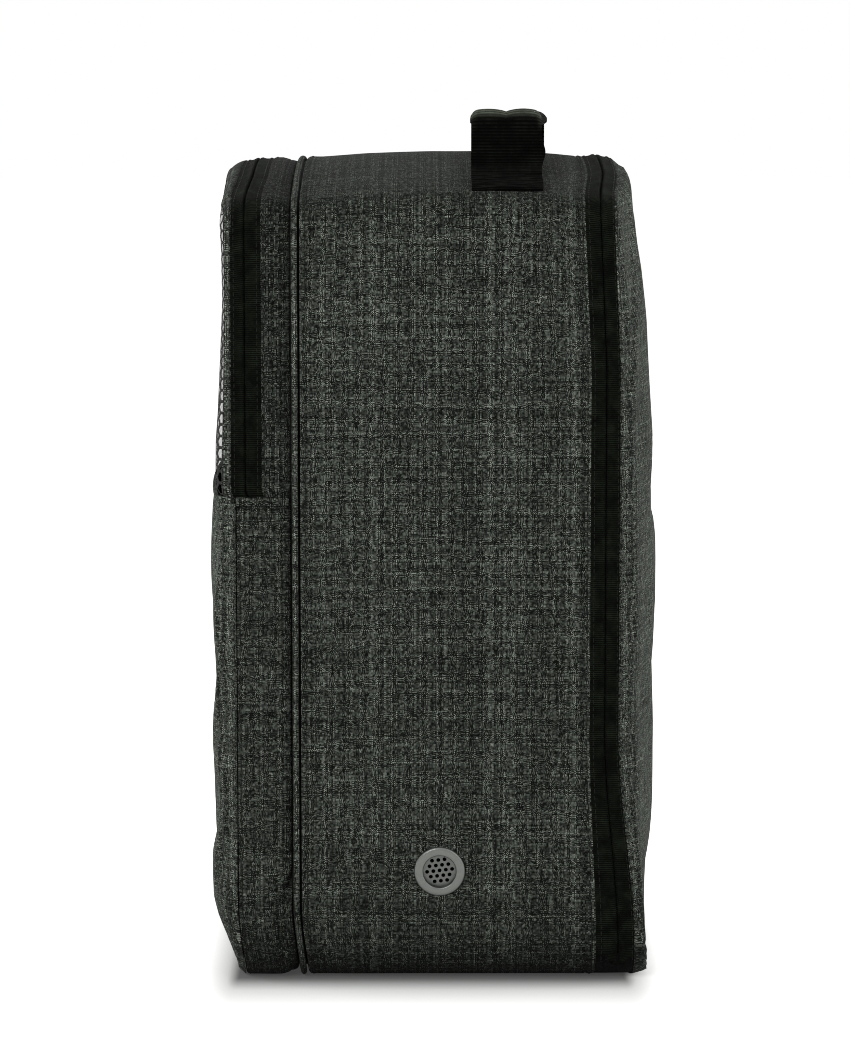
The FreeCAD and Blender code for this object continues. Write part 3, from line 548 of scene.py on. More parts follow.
class Finish:
    """A material's node tree with short words for its nodes."""

    def __init__(self, name):
        self.material = bpy.data.materials.new("look_" + name)
        self.material.use_nodes = True
        self.tree = self.material.node_tree
        self.shader = self.tree.nodes["Principled BSDF"]

    def node(self, kind, **values):
        """A new shader node of a kind, with its settings."""
        made = self.tree.nodes.new("ShaderNode" + kind)
        for key, value in values.items():
            setattr(made, key, value)
        return made

    def link(self, value, socket):
        """Put a value, or another node's output, into a socket."""
        if isinstance(value, (int, float, tuple)):
            socket.default_value = value
        else:
            self.tree.links.new(value, socket)

    def math(self, operation, a, b=0.0, c=0.0):
        """A maths node's result."""
        made = self.node("Math", operation=operation)
        for value, socket in zip((a, b, c), made.inputs):
            self.link(value, socket)
        return made.outputs[0]

    def mix(self, share, a, b):
        """A colour between a and b."""
        made = self.node("Mix", data_type="RGBA")
        self.link(share, made.inputs[0])
        for value, socket in ((a, made.inputs[6]), (b, made.inputs[7])):
            self.link((*value, 1.0) if isinstance(value, tuple) and len(value) == 3 else value, socket)
        return made.outputs[2]

    def blend_of(self, share, a, b):
        """A number between a and b."""
        made = self.node("Mix", data_type="FLOAT")
        for value, socket in zip((share, a, b), (made.inputs[0], made.inputs[2], made.inputs[3])):
            self.link(value, socket)
        return made.outputs[0]

    def cloth(self):
        """Distances along and across the cloth, in millimetres."""
        uv = self.node("UVMap", uv_map="cloth")
        split = self.node("SeparateXYZ")
        self.link(uv.outputs[0], split.inputs[0])
        return tuple(self.math("MULTIPLY", split.outputs[k], 1000.0) for k in (0, 1))

    def space(self):
        """Object coordinates, in millimetres."""
        place = self.node("TexCoord")
        scale = self.node("VectorMath", operation="SCALE")
        self.link(place.outputs["Object"], scale.inputs[0])
        scale.inputs["Scale"].default_value = 1000.0
        return scale.outputs[0]

    def join(self, x, y, z=0.0):
        """A vector of three numbers."""
        made = self.node("CombineXYZ")
        for value, socket in zip((x, y, z), made.inputs):
            self.link(value, socket)
        return made.outputs[0]

    def noise(self, vector, scale, detail=2.0, roughness=0.5, flat=True):
        """Smooth noise."""
        made = self.node("TexNoise", noise_dimensions="2D" if flat else "3D")
        self.link(vector, made.inputs["Vector"])
        made.inputs["Scale"].default_value = scale
        made.inputs["Detail"].default_value = detail
        made.inputs["Roughness"].default_value = roughness
        return made.outputs[0]

    def white(self, vector):
        """A random value for each whole-numbered place."""
        node = self.node("TexWhiteNoise", noise_dimensions="2D")
        self.link(vector, node.inputs["Vector"])
        return node.outputs["Value"]

    def span(self, value, low, high, a=0.0, b=1.0):
        """A value moved from one range to another, and held there."""
        made = self.node("MapRange")
        self.link(value, made.inputs[0])
        for k, number in enumerate((low, high, a, b)):
            made.inputs[k + 1].default_value = number
        return made.outputs[0]

    def bump(self, height, distance, strength=1.0, under=None):
        """A normal bent by a height."""
        made = self.node("Bump")
        made.inputs["Strength"].default_value = strength
        made.inputs["Distance"].default_value = distance
        self.link(height, made.inputs["Height"])
        if under is not None:
            self.link(under, made.inputs["Normal"])
        return made.outputs[0]

    def finish(self, base, rough, normal=None, **values):
        """Fill in the shader, and give the material."""
        self.link((*base, 1.0) if isinstance(base, tuple) and len(base) == 3 else base,
                  self.shader.inputs["Base Color"])
        self.link(rough, self.shader.inputs["Roughness"])
        if normal is not None:
            self.link(normal, self.shader.inputs["Normal"])
        for key, value in values.items():
            self.shader.inputs[key.replace("_", " ")].default_value = value
        return self.material


def heather(name, dark, light, shade=1.0, pitch=0.46):
    """Plain weave of mottled yarns: every short run of every thread has its own random lightness, the warp
    is the lighter of the two, and the threads show by turns in the weave's check."""
    fleck_share, grain_share, thread_share = 0.54, 0.16, 0.3
    contrast, gain = 4.2, 1.47
    f = Finish(name)
    along, across = f.cloth()
    a, b = f.math("DIVIDE", across, pitch), f.math("DIVIDE", along, pitch)
    warp, weft = f.math("FLOOR", a), f.math("FLOOR", b)
    tones = []
    for thread, run, seed, share in ((warp, along, 3.7, 1.0), (weft, across, 91.3, 0.75)):
        start = f.white(f.join(thread, seed))
        long_run = f.math("FLOOR", f.math("MULTIPLY_ADD", run, 0.15, f.math("MULTIPLY", start, 7.0)))
        short_run = f.math("FLOOR", f.math("MULTIPLY_ADD", run, 0.9, start))
        grain = f.white(f.join(f.math("ADD", thread, seed), long_run))
        fleck = f.white(f.join(f.math("ADD", thread, seed + 40.0), short_run))
        mottle = f.math("MULTIPLY_ADD", grain, grain_share, f.math("MULTIPLY", start, thread_share))
        mottle = f.math("MULTIPLY_ADD", fleck, fleck_share, mottle)
        tones.append(f.math("MULTIPLY", f.math("POWER", mottle, contrast), share * gain))
    over = f.math("MODULO", f.math("ABSOLUTE", f.math("ADD", warp, weft)), 2.0)
    tone = f.blend_of(over, tones[0], tones[1])
    cloud = f.noise(f.space(), 0.05, 4.0, 0.6, flat=False)
    tone = f.math("MULTIPLY", tone, f.span(cloud, 0.3, 0.7, 0.88, 1.12))
    place = f.node("SeparateXYZ")
    f.link(f.space(), place.inputs[0])
    facing = f.node("SeparateXYZ")
    f.link(f.node("NewGeometry").outputs["Normal"], facing.inputs[0])
    # Painted shade: below 52 mm the cloth's tone is darkened, standing in for the shade where the wall curves
    # under at the base.
    tone = f.math("MULTIPLY", tone, f.span(place.outputs["Z"], 4, 52, 0.42, 1.0))
    # Painted shade: faces turned upwards are darkened by their normal, standing in for the top being less lit
    # than the walls.
    tone = f.math("MULTIPLY", tone, f.span(facing.outputs["Z"], 0.2, 0.9, 1.0, 0.5))
    hills = [f.math("ABSOLUTE", f.math("SINE", f.math("MULTIPLY", value, math.pi))) for value in (a, b)]
    height = f.blend_of(over, hills[0], hills[1])
    base = f.mix(tone, tuple(c * shade for c in dark), tuple(c * shade for c in light))
    normal = f.bump(f.math("MULTIPLY_ADD", tone, 0.4, height), 0.00012, 0.4)
    wrinkle = f.noise(f.space(), 0.055, 3.0, 0.5, flat=False)
    normal = f.bump(wrinkle, 0.0012, 0.35, normal)
    return f.finish(base, f.span(tone, 0.0, 1.0, 0.92, 0.8), normal,
                    Sheen_Weight=0.03, Sheen_Roughness=0.5, Specular_IOR_Level=0.06)


def ribbed(name, base, pitch, deep, rough, direction="along", weave=0.35, sheen=0.03, light=1.6):
    """Narrow tape or webbing: cross ribs of one pitch, with fine threads over them and worn tops; and a
    painted highlight, paler, where the piece's point attribute for it says so."""
    f = Finish(name)
    along, across = f.cloth()
    run, side = (along, across) if direction == "along" else (across, along)
    rib = f.math("ABSOLUTE", f.math("SINE", f.math("MULTIPLY", run, math.pi / pitch)))
    threads = f.math("ABSOLUTE", f.math("SINE", f.math("MULTIPLY", side, math.pi / weave)))
    wear_and_painted_highlight = f.noise(f.space(), 0.14, 3.0, 0.6, flat=False)
    tone = f.math("MULTIPLY", f.math("MULTIPLY_ADD", threads, 0.25, f.math("MULTIPLY", rib, 0.75)),
                  f.span(wear_and_painted_highlight, 0.35, 0.7, 0.5, 1.2))
    tone = f.math("POWER", tone, 2.4)
    # Painted highlight: where the point attribute is high the colour is raised many times over, standing in for
    # light on the handle's top bend.
    pale = f.node("Attribute", attribute_name="wear_and_painted_highlight")
    top = f.mix(pale.outputs["Fac"], tuple(c * light for c in base), tuple(c * light * 20 for c in base))
    low = f.mix(pale.outputs["Fac"], tuple(c * 0.25 for c in base), tuple(c * 110 for c in base))
    colour_ = f.mix(tone, low, top)
    normal = f.bump(f.math("MULTIPLY_ADD", threads, 0.2, rib), deep, 0.8)
    return f.finish(colour_, rough, normal, Sheen_Weight=sheen, Sheen_Roughness=0.5,
                    Specular_IOR_Level=0.04)


def plain_cloth(name, base, rough=0.8, sheen=0.04, pitch=0.3, clear=None):
    """Smooth cloth: a fine even weave with soft wrinkles; sheer from "behind" or "all" round, on request."""
    f = Finish(name)
    along, across = f.cloth()
    hills = [f.math("SINE", f.math("MULTIPLY", value, math.pi / pitch)) for value in (along, across)]
    weave = f.math("MULTIPLY", hills[0], hills[1])
    cloud = f.noise(f.space(), 0.03, 4.0, 0.6, flat=False)
    tone = f.math("MULTIPLY_ADD", weave, 0.1, cloud)
    colour_ = f.mix(tone, tuple(c * 0.75 for c in base), tuple(c * 1.3 for c in base))
    normal = f.bump(weave, 0.00004, 0.4, f.bump(cloud, 0.002, 0.4))
    f.finish(colour_, rough, normal, Sheen_Weight=sheen, Sheen_Roughness=0.4, Specular_IOR_Level=0.12)
    if clear:
        sheer, evenly = 0.8, 0.9
        share = f.node("NewGeometry").outputs["Backfacing"] if clear == "behind" else evenly
        mixed = f.node("MixShader")
        f.link(f.math("MULTIPLY", share, sheer), mixed.inputs[0])
        f.link(f.shader.outputs[0], mixed.inputs[1])
        f.link(f.node("BsdfTransparent").outputs[0], mixed.inputs[2])
        f.link(mixed.outputs[0], f.tree.nodes["Material Output"].inputs["Surface"])
    return f.material


def solid_finish(name, base, rough, metallic=0.0, scale=0.2, fleck=0.15, bump=0.00005, coat=0.0):
    """Moulded, cast or turned stuff: soft mottling of its colour, and a fine grain in its surface and gloss."""
    f = Finish(name)
    place = f.space()
    fine = f.noise(place, scale * 8, 3.0, 0.6, flat=False)
    broad = f.noise(place, scale, 2.0, 0.5, flat=False)
    colour_ = f.mix(broad, tuple(c * (1 - fleck) for c in base),
                    tuple(min(1, c * (1 + fleck)) for c in base))
    normal = f.bump(fine, bump, 0.5)
    return f.finish(colour_, f.span(fine, 0.3, 0.7, max(rough - 0.08, 0.02), rough + 0.1), normal,
                    Metallic=metallic, Coat_Weight=coat)


def make_finishes():
    """Every material of the bag, by the name that finish_of looks up."""
    c = colours()
    dark, light = tuple(c.heather_dark), tuple(c.heather_light)
    heather("heather", dark, light)
    heather("heather_border", dark, light, shade=0.9)
    # Painted shade: a darker copy of the heather for the pocket's side below the hem, which curves in away from
    # the light.
    heather("heather_pocket_painted_shade", dark, light, shade=0.84)
    # Painted shade: a much darker copy of the heather for the pocket's upper strip, sunk between the zip and
    # the piping.
    heather("heather_strip_painted_shade", dark, light, shade=0.6)
    # Painted shade: a nearly black copy of the heather for the cloth fold under the base, standing in for the
    # shade beneath the bag.
    heather("heather_under_painted_shade", dark, light, shade=0.08)
    # Painted highlight: a lighter copy of the same heather for the raised piping cord, standing in for light
    # along its crest.
    heather("piping_cloth_painted_highlight", dark, light, shade=1.25)
    ribbed("zip_tape", tuple(c.tape), 0.9, 0.00022, 0.85, sheen=0.01, light=7.0)
    ribbed("webbing", tuple(c.webbing), 1.36, 0.0006, 0.9, weave=0.5, sheen=0.003, light=16.0)
    plain_cloth("binding", tuple(c.tape), 0.8)
    plain_cloth("lining", tuple(c.lining))
    plain_cloth("mesh_knit", tuple(c.mesh), 0.8, 0.02, 0.25, clear="behind")
    plain_cloth("mesh_knit_inner", tuple(c.mesh), 0.8, 0.02, 0.25, clear="all")
    plain_cloth("thread", tuple(c.thread), 0.7, 0.03, 0.2)
    solid_finish("coil_nylon", (0.011, 0.012, 0.011), 0.42, scale=0.4)
    solid_finish("vent_metal", tuple(c.metal), 0.33, 0.9, scale=0.5, fleck=0.1)
    solid_finish("vent_screen", tuple(v * 0.8 for v in c.metal), 0.4, 0.9, scale=0.5, fleck=0.12)
    solid_finish("zip_metal", (0.022, 0.022, 0.021), 0.38, 0.6, scale=0.5, fleck=0.25, coat=0.3)
    solid_finish("board", (0.02, 0.021, 0.02), 0.6, scale=0.1)


def finish_of(name):
    """A material made by make_finishes."""
    return bpy.data.materials["look_" + name]


# ---------------------------------------------------------------- pieces

class BagOperator:
    """Shared by the bag's operators: run build() and let any error stop the script."""
    bl_options = {"REGISTER", "UNDO"}

    def execute(self, context):
        self.build()
        return {"FINISHED"}


def columns_between(left, right, spacing=2.5, edge=2.0):
    """x places across a strip, close set within its rolled edges and beside its seam's groove."""
    inner = np.linspace(left + edge, right - edge, max(int((right - left - 2 * edge) / spacing), 2) + 1)
    near = edge * (1 - np.cos(np.linspace(0, math.pi / 2, 5)[:-1]))
    groove = right - SEAM_GROOVE + np.array([-0.8, -0.4, 0.0, 0.4, 0.8])
    return np.sort(np.concatenate([left + near, inner, (right - near)[::-1], groove]))


# A crease low on the pocket's near side: its path (x, z), in millimetres
CREASE = ((-58.9, 49.6), (-64.8, 35.0), (-67.2, 27.0), (-66.0, 14.0))


def creased(x, z, y):
    """Depth of the crease: 3.4 exp(-(d / 1.5)^2), d the distance from its path, less two swells beside it,
    on the near side only; and of the groove under the hem."""
    nearest = np.full(np.broadcast(x, z).shape, 1e9)
    for (xa, za), (xb, zb) in zip(CREASE, CREASE[1:]):
        dx, dz = xb - xa, zb - za
        t = np.clip(((x - xa) * dx + (z - za) * dz) / (dx * dx + dz * dz), 0, 1)
        nearest = np.minimum(nearest, np.hypot(x - xa - t * dx, z - za - t * dz))
    swell = 1.1 * np.exp(-((x + 71.5) / 4) ** 2 - ((z - 30) / 15) ** 2)
    swell = swell + 1.2 * np.exp(-((x + 61.0) / 3) ** 2 - ((z - 22) / 12) ** 2)
    hem_line = 1.3 * np.exp(-((z - sizes().hem + 4.3) / 0.9) ** 2)
    return (3.4 * np.exp(-(nearest / 1.5) ** 2) - 1.5 * swell) * (y < 0) + hem_line


def rolled(left, right, radius=1.5, crown=0.0, seed=0, amount=0.25, flat=None, dip=0.0):
    """Depths of a strip whose edges roll under: radius - sqrt(radius^2 - (radius - d)^2) near each edge,
    less a crown of sin(pi t) across it, with a little unevenness; flat round the place (x, z) of a vent,
    and drawn in by a dip beside the right edge."""
    def depths(along, x, z, y):
        edge = np.minimum(x - left, right - x)
        d = np.clip(radius - edge, 0, radius)
        fold = radius - np.sqrt(np.maximum(radius ** 2 - d ** 2, 0))
        middle = np.sin(math.pi * np.clip((x - left) / (right - left), 0, 1))
        wall = smooth((z - 12) / 90) * smooth((328 - z) / 70)
        pucker = 0.10 * np.sin(2 * math.pi * along / 9.0 + x * 0.05) * np.exp(-np.maximum(edge, 0) / 5)
        uneven = amount * ripple(along, x, seed, low=0.006, high=0.03) * np.minimum(1, edge / 12)
        free = 1.0 if flat is None else smooth((np.hypot(x - flat[0], z - flat[1]) - 11) / 20)
        seam = 0.35 * np.exp(-((right - x - SEAM_GROOVE) / 0.45) ** 2) + dip * smooth(1 - (right - x) / 8)
        return fold + seam - (crown * middle * wall + uneven) * free - pucker * np.minimum(1, edge / 2)
    return depths


class BAG_OT_gusset(BagOperator, bpy.types.Operator):
    """Add the padded side of the case, its lining and its topstitching"""
    bl_idname = "shoebag.gusset"
    bl_label = "Case side"

    def build(self):
        s = sizes()
        left, right = s.case_front, s.case_back + 1.0
        xs = columns_between(left, right)
        low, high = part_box("vent_eyelets")
        vent = ((low.x + high.x) / 2 * PER_METRE, (low.z + high.z) / 2 * PER_METRE)
        cut, lining_cut = 8.7, 9.4
        skin = band("gusset_fabric", xs, rolled(left, right, 2.0, 2.2, 11, 0.45, vent), 2.4,
                    hole=(*vent, cut), material=finish_of("heather"),
                    parts=("main_gusset", "main_gusset_foam"), slot="heather_fabric")
        inner = columns_between(left + 2.0, right - 0.4, 4.0)
        band("gusset_lining", inner,
             lambda along, x, z, y: 3.6 + 0.25 * ripple(along, x, 12, low=0.01, high=0.04),
             0.6, step=LINING_STEP, hole=(*vent, lining_cut),
             material=finish_of("lining"), parts=("main_gusset_lining",), slot="lining")
        stitches("gusset_stitches", [row_of(left + 2.4), row_of(right - 2.2)])


class BAG_OT_piping(BagOperator, bpy.types.Operator):
    """Add the piped seam between the case and the pocket"""
    bl_idname = "shoebag.piping"
    bl_label = "Piping"

    def build(self):
        s = sizes()
        y, z, ny, nz, along, _ = outline()
        uneven = 0.12 * ripple(along, along * 0, 21, low=0.01, high=0.05)
        middle = np.stack([np.full_like(y, s.piping) + uneven, y + ny * 1.2, z + nz * 1.2], -1)
        out = np.stack([np.zeros_like(y), -ny, -nz], -1)
        side = np.tile([1.0, 0, 0], (len(y), 1))
        turn = np.linspace(0, 2 * math.pi, 14, endpoint=False)
        profile = np.stack([1.35 * np.cos(turn), 1.5 * np.sin(turn)], -1)
        # Painted highlight: the cord uses the lighter copy of the heather.
        swept("piping", settle(middle), side, out, profile, closed=True, along=along,
              material=finish_of("piping_cloth_painted_highlight"), parts=("front_piping",), slot="heather_fabric")
        xs = np.array([s.piping - 2.2, s.piping, s.case_front + 2.2])
        band("seam_allowance", xs, np.array([4.3, 4.0, 4.3]), 0.8, step=LINING_STEP,
             material=finish_of("binding"), parts=("divider_binding",), slot="zip_tape")


def tape_places(split, far):
    """x places across a tape from its split to its sewn edge, close set beside the split."""
    side = np.sign(far - split)
    close = split + side * np.array([0.0, 0.12, 0.26, 0.42, 0.62, 0.9])
    return np.sort(np.append(close, np.linspace(split + side * 1.3, far, 9)))


def tape_depths(split):
    """Depths of a zip tape: recess - 0.55 exp(-(d - 1.1)^2) over its teeth + 1.6 exp(-(d / 0.4)^2) at the
    split, d being the distance from it, with a little unevenness."""
    recess = 0.35

    def depths(along, x, z, y):
        d = np.abs(x - split)
        ridge = 0.55 * np.exp(-(d - 1.1) ** 2)
        dip = 1.6 * np.exp(-(d / 0.4) ** 2)
        return recess - ridge + dip + 0.08 * ripple(along, x, 31, low=0.01, high=0.05)
    return depths


def coil(name, x, depth, body, part, low=None):
    """Moulded teeth: one tube wound round an oval, x = x0 + cos t, depth = d0 + 0.72 sin t."""
    y, z, ny, nz, along, total = outline(low=low)
    pitch, sides, turn_steps = 1.35, 4, 8
    tall, wire = 0.72, 0.33
    start, end = (0.0, total) if low is None else (along[0], along[-1])
    turns = int((end - start) / pitch)
    at = np.linspace(start, end, turns * turn_steps, endpoint=low is not None)
    angle = 2 * math.pi * np.arange(len(at)) / turn_steps
    grown = [np.append(v, v[0]) if low is None else v for v in (y, z, ny, nz)]
    run = np.append(along, total) if low is None else along
    yy, zz, nyy, nzz = (np.interp(at, run, v) for v in grown)
    d = depth + tall * np.sin(angle)
    path = np.stack([x + np.cos(angle), yy + nyy * d, zz + nzz * d], -1)
    out = np.stack([np.cos(angle), nyy * np.sin(angle), nzz * np.sin(angle)], -1)
    forward = np.stack([np.zeros_like(at), nzz, -nyy], -1)
    turn = np.linspace(0, 2 * math.pi, sides, endpoint=False)
    profile = wire * np.stack([np.cos(turn), np.sin(turn)], -1)
    return swept(name, settle(path), forward, out, profile, closed=low is None, along=at,
                 material=finish_of("coil_nylon"), body=body, parts=(part,), slot="zip_coil")


class BAG_OT_main_zip(BagOperator, bpy.types.Operator):
    """Add the main zip: a tape and a coil on each side of its split, with their bindings"""
    bl_idname = "shoebag.main_zip"
    bl_label = "Main zip"

    def build(self):
        s = sizes()
        inner = s.case_back + s.main_tape
        outer = s.lid_seam - s.main_tape
        low, lap = ZIP_LOW, 0.02
        tape = finish_of("zip_tape")
        split = (inner + outer) / 2
        xs = tape_places(split - lap, s.case_back - 1.6)
        band("main_zip_tape_case", xs, tape_depths(split - lap), 0.7, low=low,
             material=tape, parts=("main_zip_tape_body",), slot="zip_tape")
        xs = tape_places(split + lap, s.lid_seam + 0.3)
        band("main_zip_tape_lid", xs, tape_depths(split + lap), 0.7, low=low,
             material=tape, body="lid", parts=("lid_zip_tape",), slot="zip_tape")
        coil("main_zip_coil_case", inner - 1.1, 1.9, "bag", "main_zip_coil_body", low)
        coil("main_zip_coil_lid", outer + 1.1, 1.9, "lid", "lid_zip_coil", low)
        band("case_seam_binding", np.linspace(s.case_back - 1.4, s.case_back + 0.8, 4), np.full(4, 4.4), 0.9,
             low=low, step=LINING_STEP, material=finish_of("binding"), parts=("zip_seam_binding",),
             slot="zip_tape")
        band("lid_seam_binding_cloth", np.linspace(s.lid_seam - 1.5, s.lid_seam - 0.2, 4), np.full(4, 1.4),
             3.0, low=low, step=LINING_STEP, material=finish_of("binding"), body="lid",
             parts=("lid_seam_binding",), slot="zip_tape")
        stitches("zip_stitches_case", [row_of(s.case_back + 1.6, 0.3, low)])
        stitches("zip_stitches_lid", [row_of(s.lid_seam - 1.5, 0.3, low)], body="lid")


class BAG_OT_pocket_side(BagOperator, bpy.types.Operator):
    """Add the pocket's side cloth below and above its hem, with the bands where its zip ends"""
    bl_idname = "shoebag.pocket_side"
    bl_label = "Pocket side"

    def build(self):
        s = sizes()
        left, right = s.front_seam + 0.3, s.piping - 2.0
        strip = s.front_seam + 2 * s.pocket_tape + s.split + 0.2
        fine = 1.6
        z = outline(fine)[1]
        xs = columns_between(left, right, 1.5, 1.4)
        plain = rolled(left, right, 1.8, 0.5, 41, 0.3, dip=2.2)
        skin, _, total = carry(xs, lambda along, x, z, y: plain(along, x, z, y) + creased(x, z, y),
                               step=fine)
        first = int(np.searchsorted(z[: len(z) // 2], s.hem))
        keep = np.concatenate([np.arange(len(z) - first, len(z)), np.arange(0, first + 1)])
        skin = skin[keep]
        under = skin - facing_out(skin, False)
        run = np.arange(len(keep)) * (total / len(z))
        # Painted shade: this cloth uses the darker copy of the heather.
        shell("pocket_side_lower", skin, under, run, xs, material=finish_of("heather_pocket_painted_shade"),
              parts=("pocket_gusset_lower",), slot="heather_fabric")
        xs = columns_between(strip, right, 2.4, 1.2)
        # Painted shade: this strip uses the darker copy of the heather.
        band("pocket_side_upper", xs, rolled(strip, right, 1.2, 0.3, 42, 0.2, dip=2.0), 1.0, low=s.hem + 0.4,
             material=finish_of("heather_strip_painted_shade"), parts=("pocket_gusset_upper",), slot="heather_fabric")
        ends = []
        across = np.linspace(left + 0.2, right - 0.6, 24)
        up = s.hem + np.array([-3.5, -3.3, -2.6, -1.4, -0.3, 0.2, 0.5])
        lift = np.array([-0.5, 0.9, 1.2, 1.25, 1.1, 0.7, -0.6])
        xx, zz = np.meshgrid(across, up)
        sunk = 2.2 * smooth(1 - (right - xx) / 8)
        for tag, sign in (("near", -1), ("far", 1)):
            outer = np.stack([xx, sign * (s.half_width + lift[:, None] - sunk), zz], -1)
            inner = outer.copy()
            inner[..., 1] = sign * (s.half_width - 0.9 - sunk)
            piece = shell(f"zip_end_band_{tag}", outer, inner, up, across,
                          material=finish_of("heather"), slot="heather_fabric")
            places = np.stack([across, sign * (s.half_width + 0.1 - sunk[0]),
                               np.full_like(across, s.hem - 4.4)], -1)
            outward = np.tile([0.0, sign, 0.0], (len(across), 1))
            ends.append((places, outward))
        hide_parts("pocket_zip_end_bands")
        seams = [row_of(strip + 1.5, 0.0, s.hem + 2)] + ends
        lower = row_of(left + 1.8, 0.0)
        half = len(lower[0])
        low_part = [np.flatnonzero(lower[0][: half // 2, 2] < s.hem - 3),
                    half // 2 + np.flatnonzero(lower[0][half // 2:, 2] < s.hem - 3)]
        seams += [(lower[0][part], lower[1][part]) for part in low_part]
        stitches("pocket_stitches", seams)


def flap_fold():
    """Where the flap's cloth starts and ends its fold over the hem, in metres."""
    hem = sizes().hem
    return (0, 0, (hem - 0.4) * METRES), (0, 0, (hem + 9.0) * METRES)


class BAG_OT_pocket_zip(BagOperator, bpy.types.Operator):
    """Add the pocket's zip: a tape and a coil on the pocket side and on the flap"""
    bl_idname = "shoebag.pocket_zip"
    bl_label = "Pocket zip"

    def build(self):
        s = sizes()
        flap_edge = s.front_seam + s.pocket_tape
        side_edge = flap_edge + s.split
        low = s.hem + 0.3
        tape = finish_of("zip_tape")
        split = (side_edge + flap_edge) / 2
        edge_lap, ridge_lap = 0.04, 0.02
        xs = tape_places(split - edge_lap, side_edge + s.pocket_tape + 0.8)
        band("pocket_zip_tape_side", xs, tape_depths(split + ridge_lap), 0.7, low=low,
             material=tape, parts=("pocket_zip_tape_body",), slot="zip_tape")
        coil("pocket_zip_coil_side", side_edge + 1.3, 1.9, "bag", "pocket_zip_coil_body", low)
        stitches("pocket_zip_stitches_side", [row_of(side_edge + s.pocket_tape - 1.0, 0.3, low)])
        xs = tape_places(split + edge_lap, s.front_seam - 0.4)
        start, end = flap_fold()
        flap = [band("pocket_zip_tape_flap", xs, tape_depths(split - ridge_lap), 0.7, low=low,
                     material=tape, body=None, parts=("flap_zip_tape",), slot="zip_tape"),
                coil("pocket_zip_coil_flap", flap_edge - 1.3, 1.9, None, "flap_zip_coil", low),
                stitches("pocket_zip_stitches_flap", [row_of(s.front_seam + 1.6, 0.3, low)], body=None)]
        for piece in flap:
            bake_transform(piece)
            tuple(start)
            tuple(end)


def dome(y, z, power):
    """Rounded fall of a face from its middle to its side seams: 1 - |y / half width| ^ power."""
    return 1 - np.clip(np.abs(y) / half_width_at(z), 0, 1) ** power


def level_with(y, z):
    """Height on the bag's middle line that matches a place: z * crest / ceiling(y)."""
    return z * sizes().crest / ceiling_at(y)


def side_rise(y, z, share):
    """Swell across a face: share * sin(quarter turn of d / reach) + (1 - share) * dome, d in from its side.

    The reach is 9, and shrinks to 5 at the base, where the faces are boxed out."""
    d = half_width_at(z) - np.abs(y)
    reach = 9 - 4 * smooth((34 - z) / 30)
    shoulder = np.sin(math.pi / 2 * np.clip(d / reach, 0, 1))
    return share * shoulder + (1 - share) * dome(y, z, 2.2)


def front_height(y, z):
    """How far the pocket's face stands out: crown * swell(y) * profile(z), rounded at its low and high
    edges."""
    s = sizes()
    profile = np.interp(level_with(y, z), FRONT_PROFILE[0], FRONT_PROFILE[1])
    edges = pillow((z - floor_at(y)) / 36) * pillow((ceiling_at(y) - z) / 11)
    return s.front_crown * profile * edges * side_rise(y, z, 0.52)


def lid_height(y, z):
    """How far the lid's face stands out: crown * swell(y) * profile(z), rounded at its low and high edges."""
    s = sizes()
    profile = np.interp(level_with(y, z), LID_PROFILE[0], LID_PROFILE[1])
    edges = pillow((z - floor_at(y)) / 2.5) * pillow((ceiling_at(y) - z) / 9)
    return s.lid_crown * profile * edges * side_rise(y, z, 0.2 + 0.6 * smooth((50 - z) / 40))


def padded_panel(name, y, z, height, seam, outward, thickness, seed, pressure, cap, uneven=0.5, **facts):
    """A padded face: x = seam + outward * (height(y, z) + unevenness), puffed, with a back a thickness in."""
    rows, columns = y.shape
    rim = np.minimum(half_width_at(z) - np.abs(y), np.minimum(z - floor_at(y), ceiling_at(y) - z))
    rise = height(y, z) + uneven * ripple(y, z, seed, low=0.004, high=0.018) * smooth(rim / 30)
    points = np.stack([seam + outward * rise, y, z], -1)
    pins = np.ones((rows, columns), bool)
    pins[2:-2, 2:-2] = False
    points = settle(puff(points, pressure, cap, pins))
    n = normals_of(points, False)
    if np.sum(n[..., 0]) * outward < 0:
        n = -n
    straight = np.zeros_like(n)
    straight[..., 0] = outward
    share = smooth(rim / 14)[..., None]
    n = n * share + straight * (1 - share)
    n /= np.linalg.norm(n, axis=-1, keepdims=True)
    steps = np.hypot(np.diff(points[..., 0], axis=1), np.diff(points[..., 1], axis=1))
    across = np.concatenate([np.zeros((rows, 1)), np.cumsum(steps, axis=1)], axis=1)
    across -= across[:, columns // 2:columns // 2 + 1]
    deep = thickness * (0.25 + 0.75 * share)
    return shell(name, points, points - n * deep, points[..., 2], across, **facts), points, n


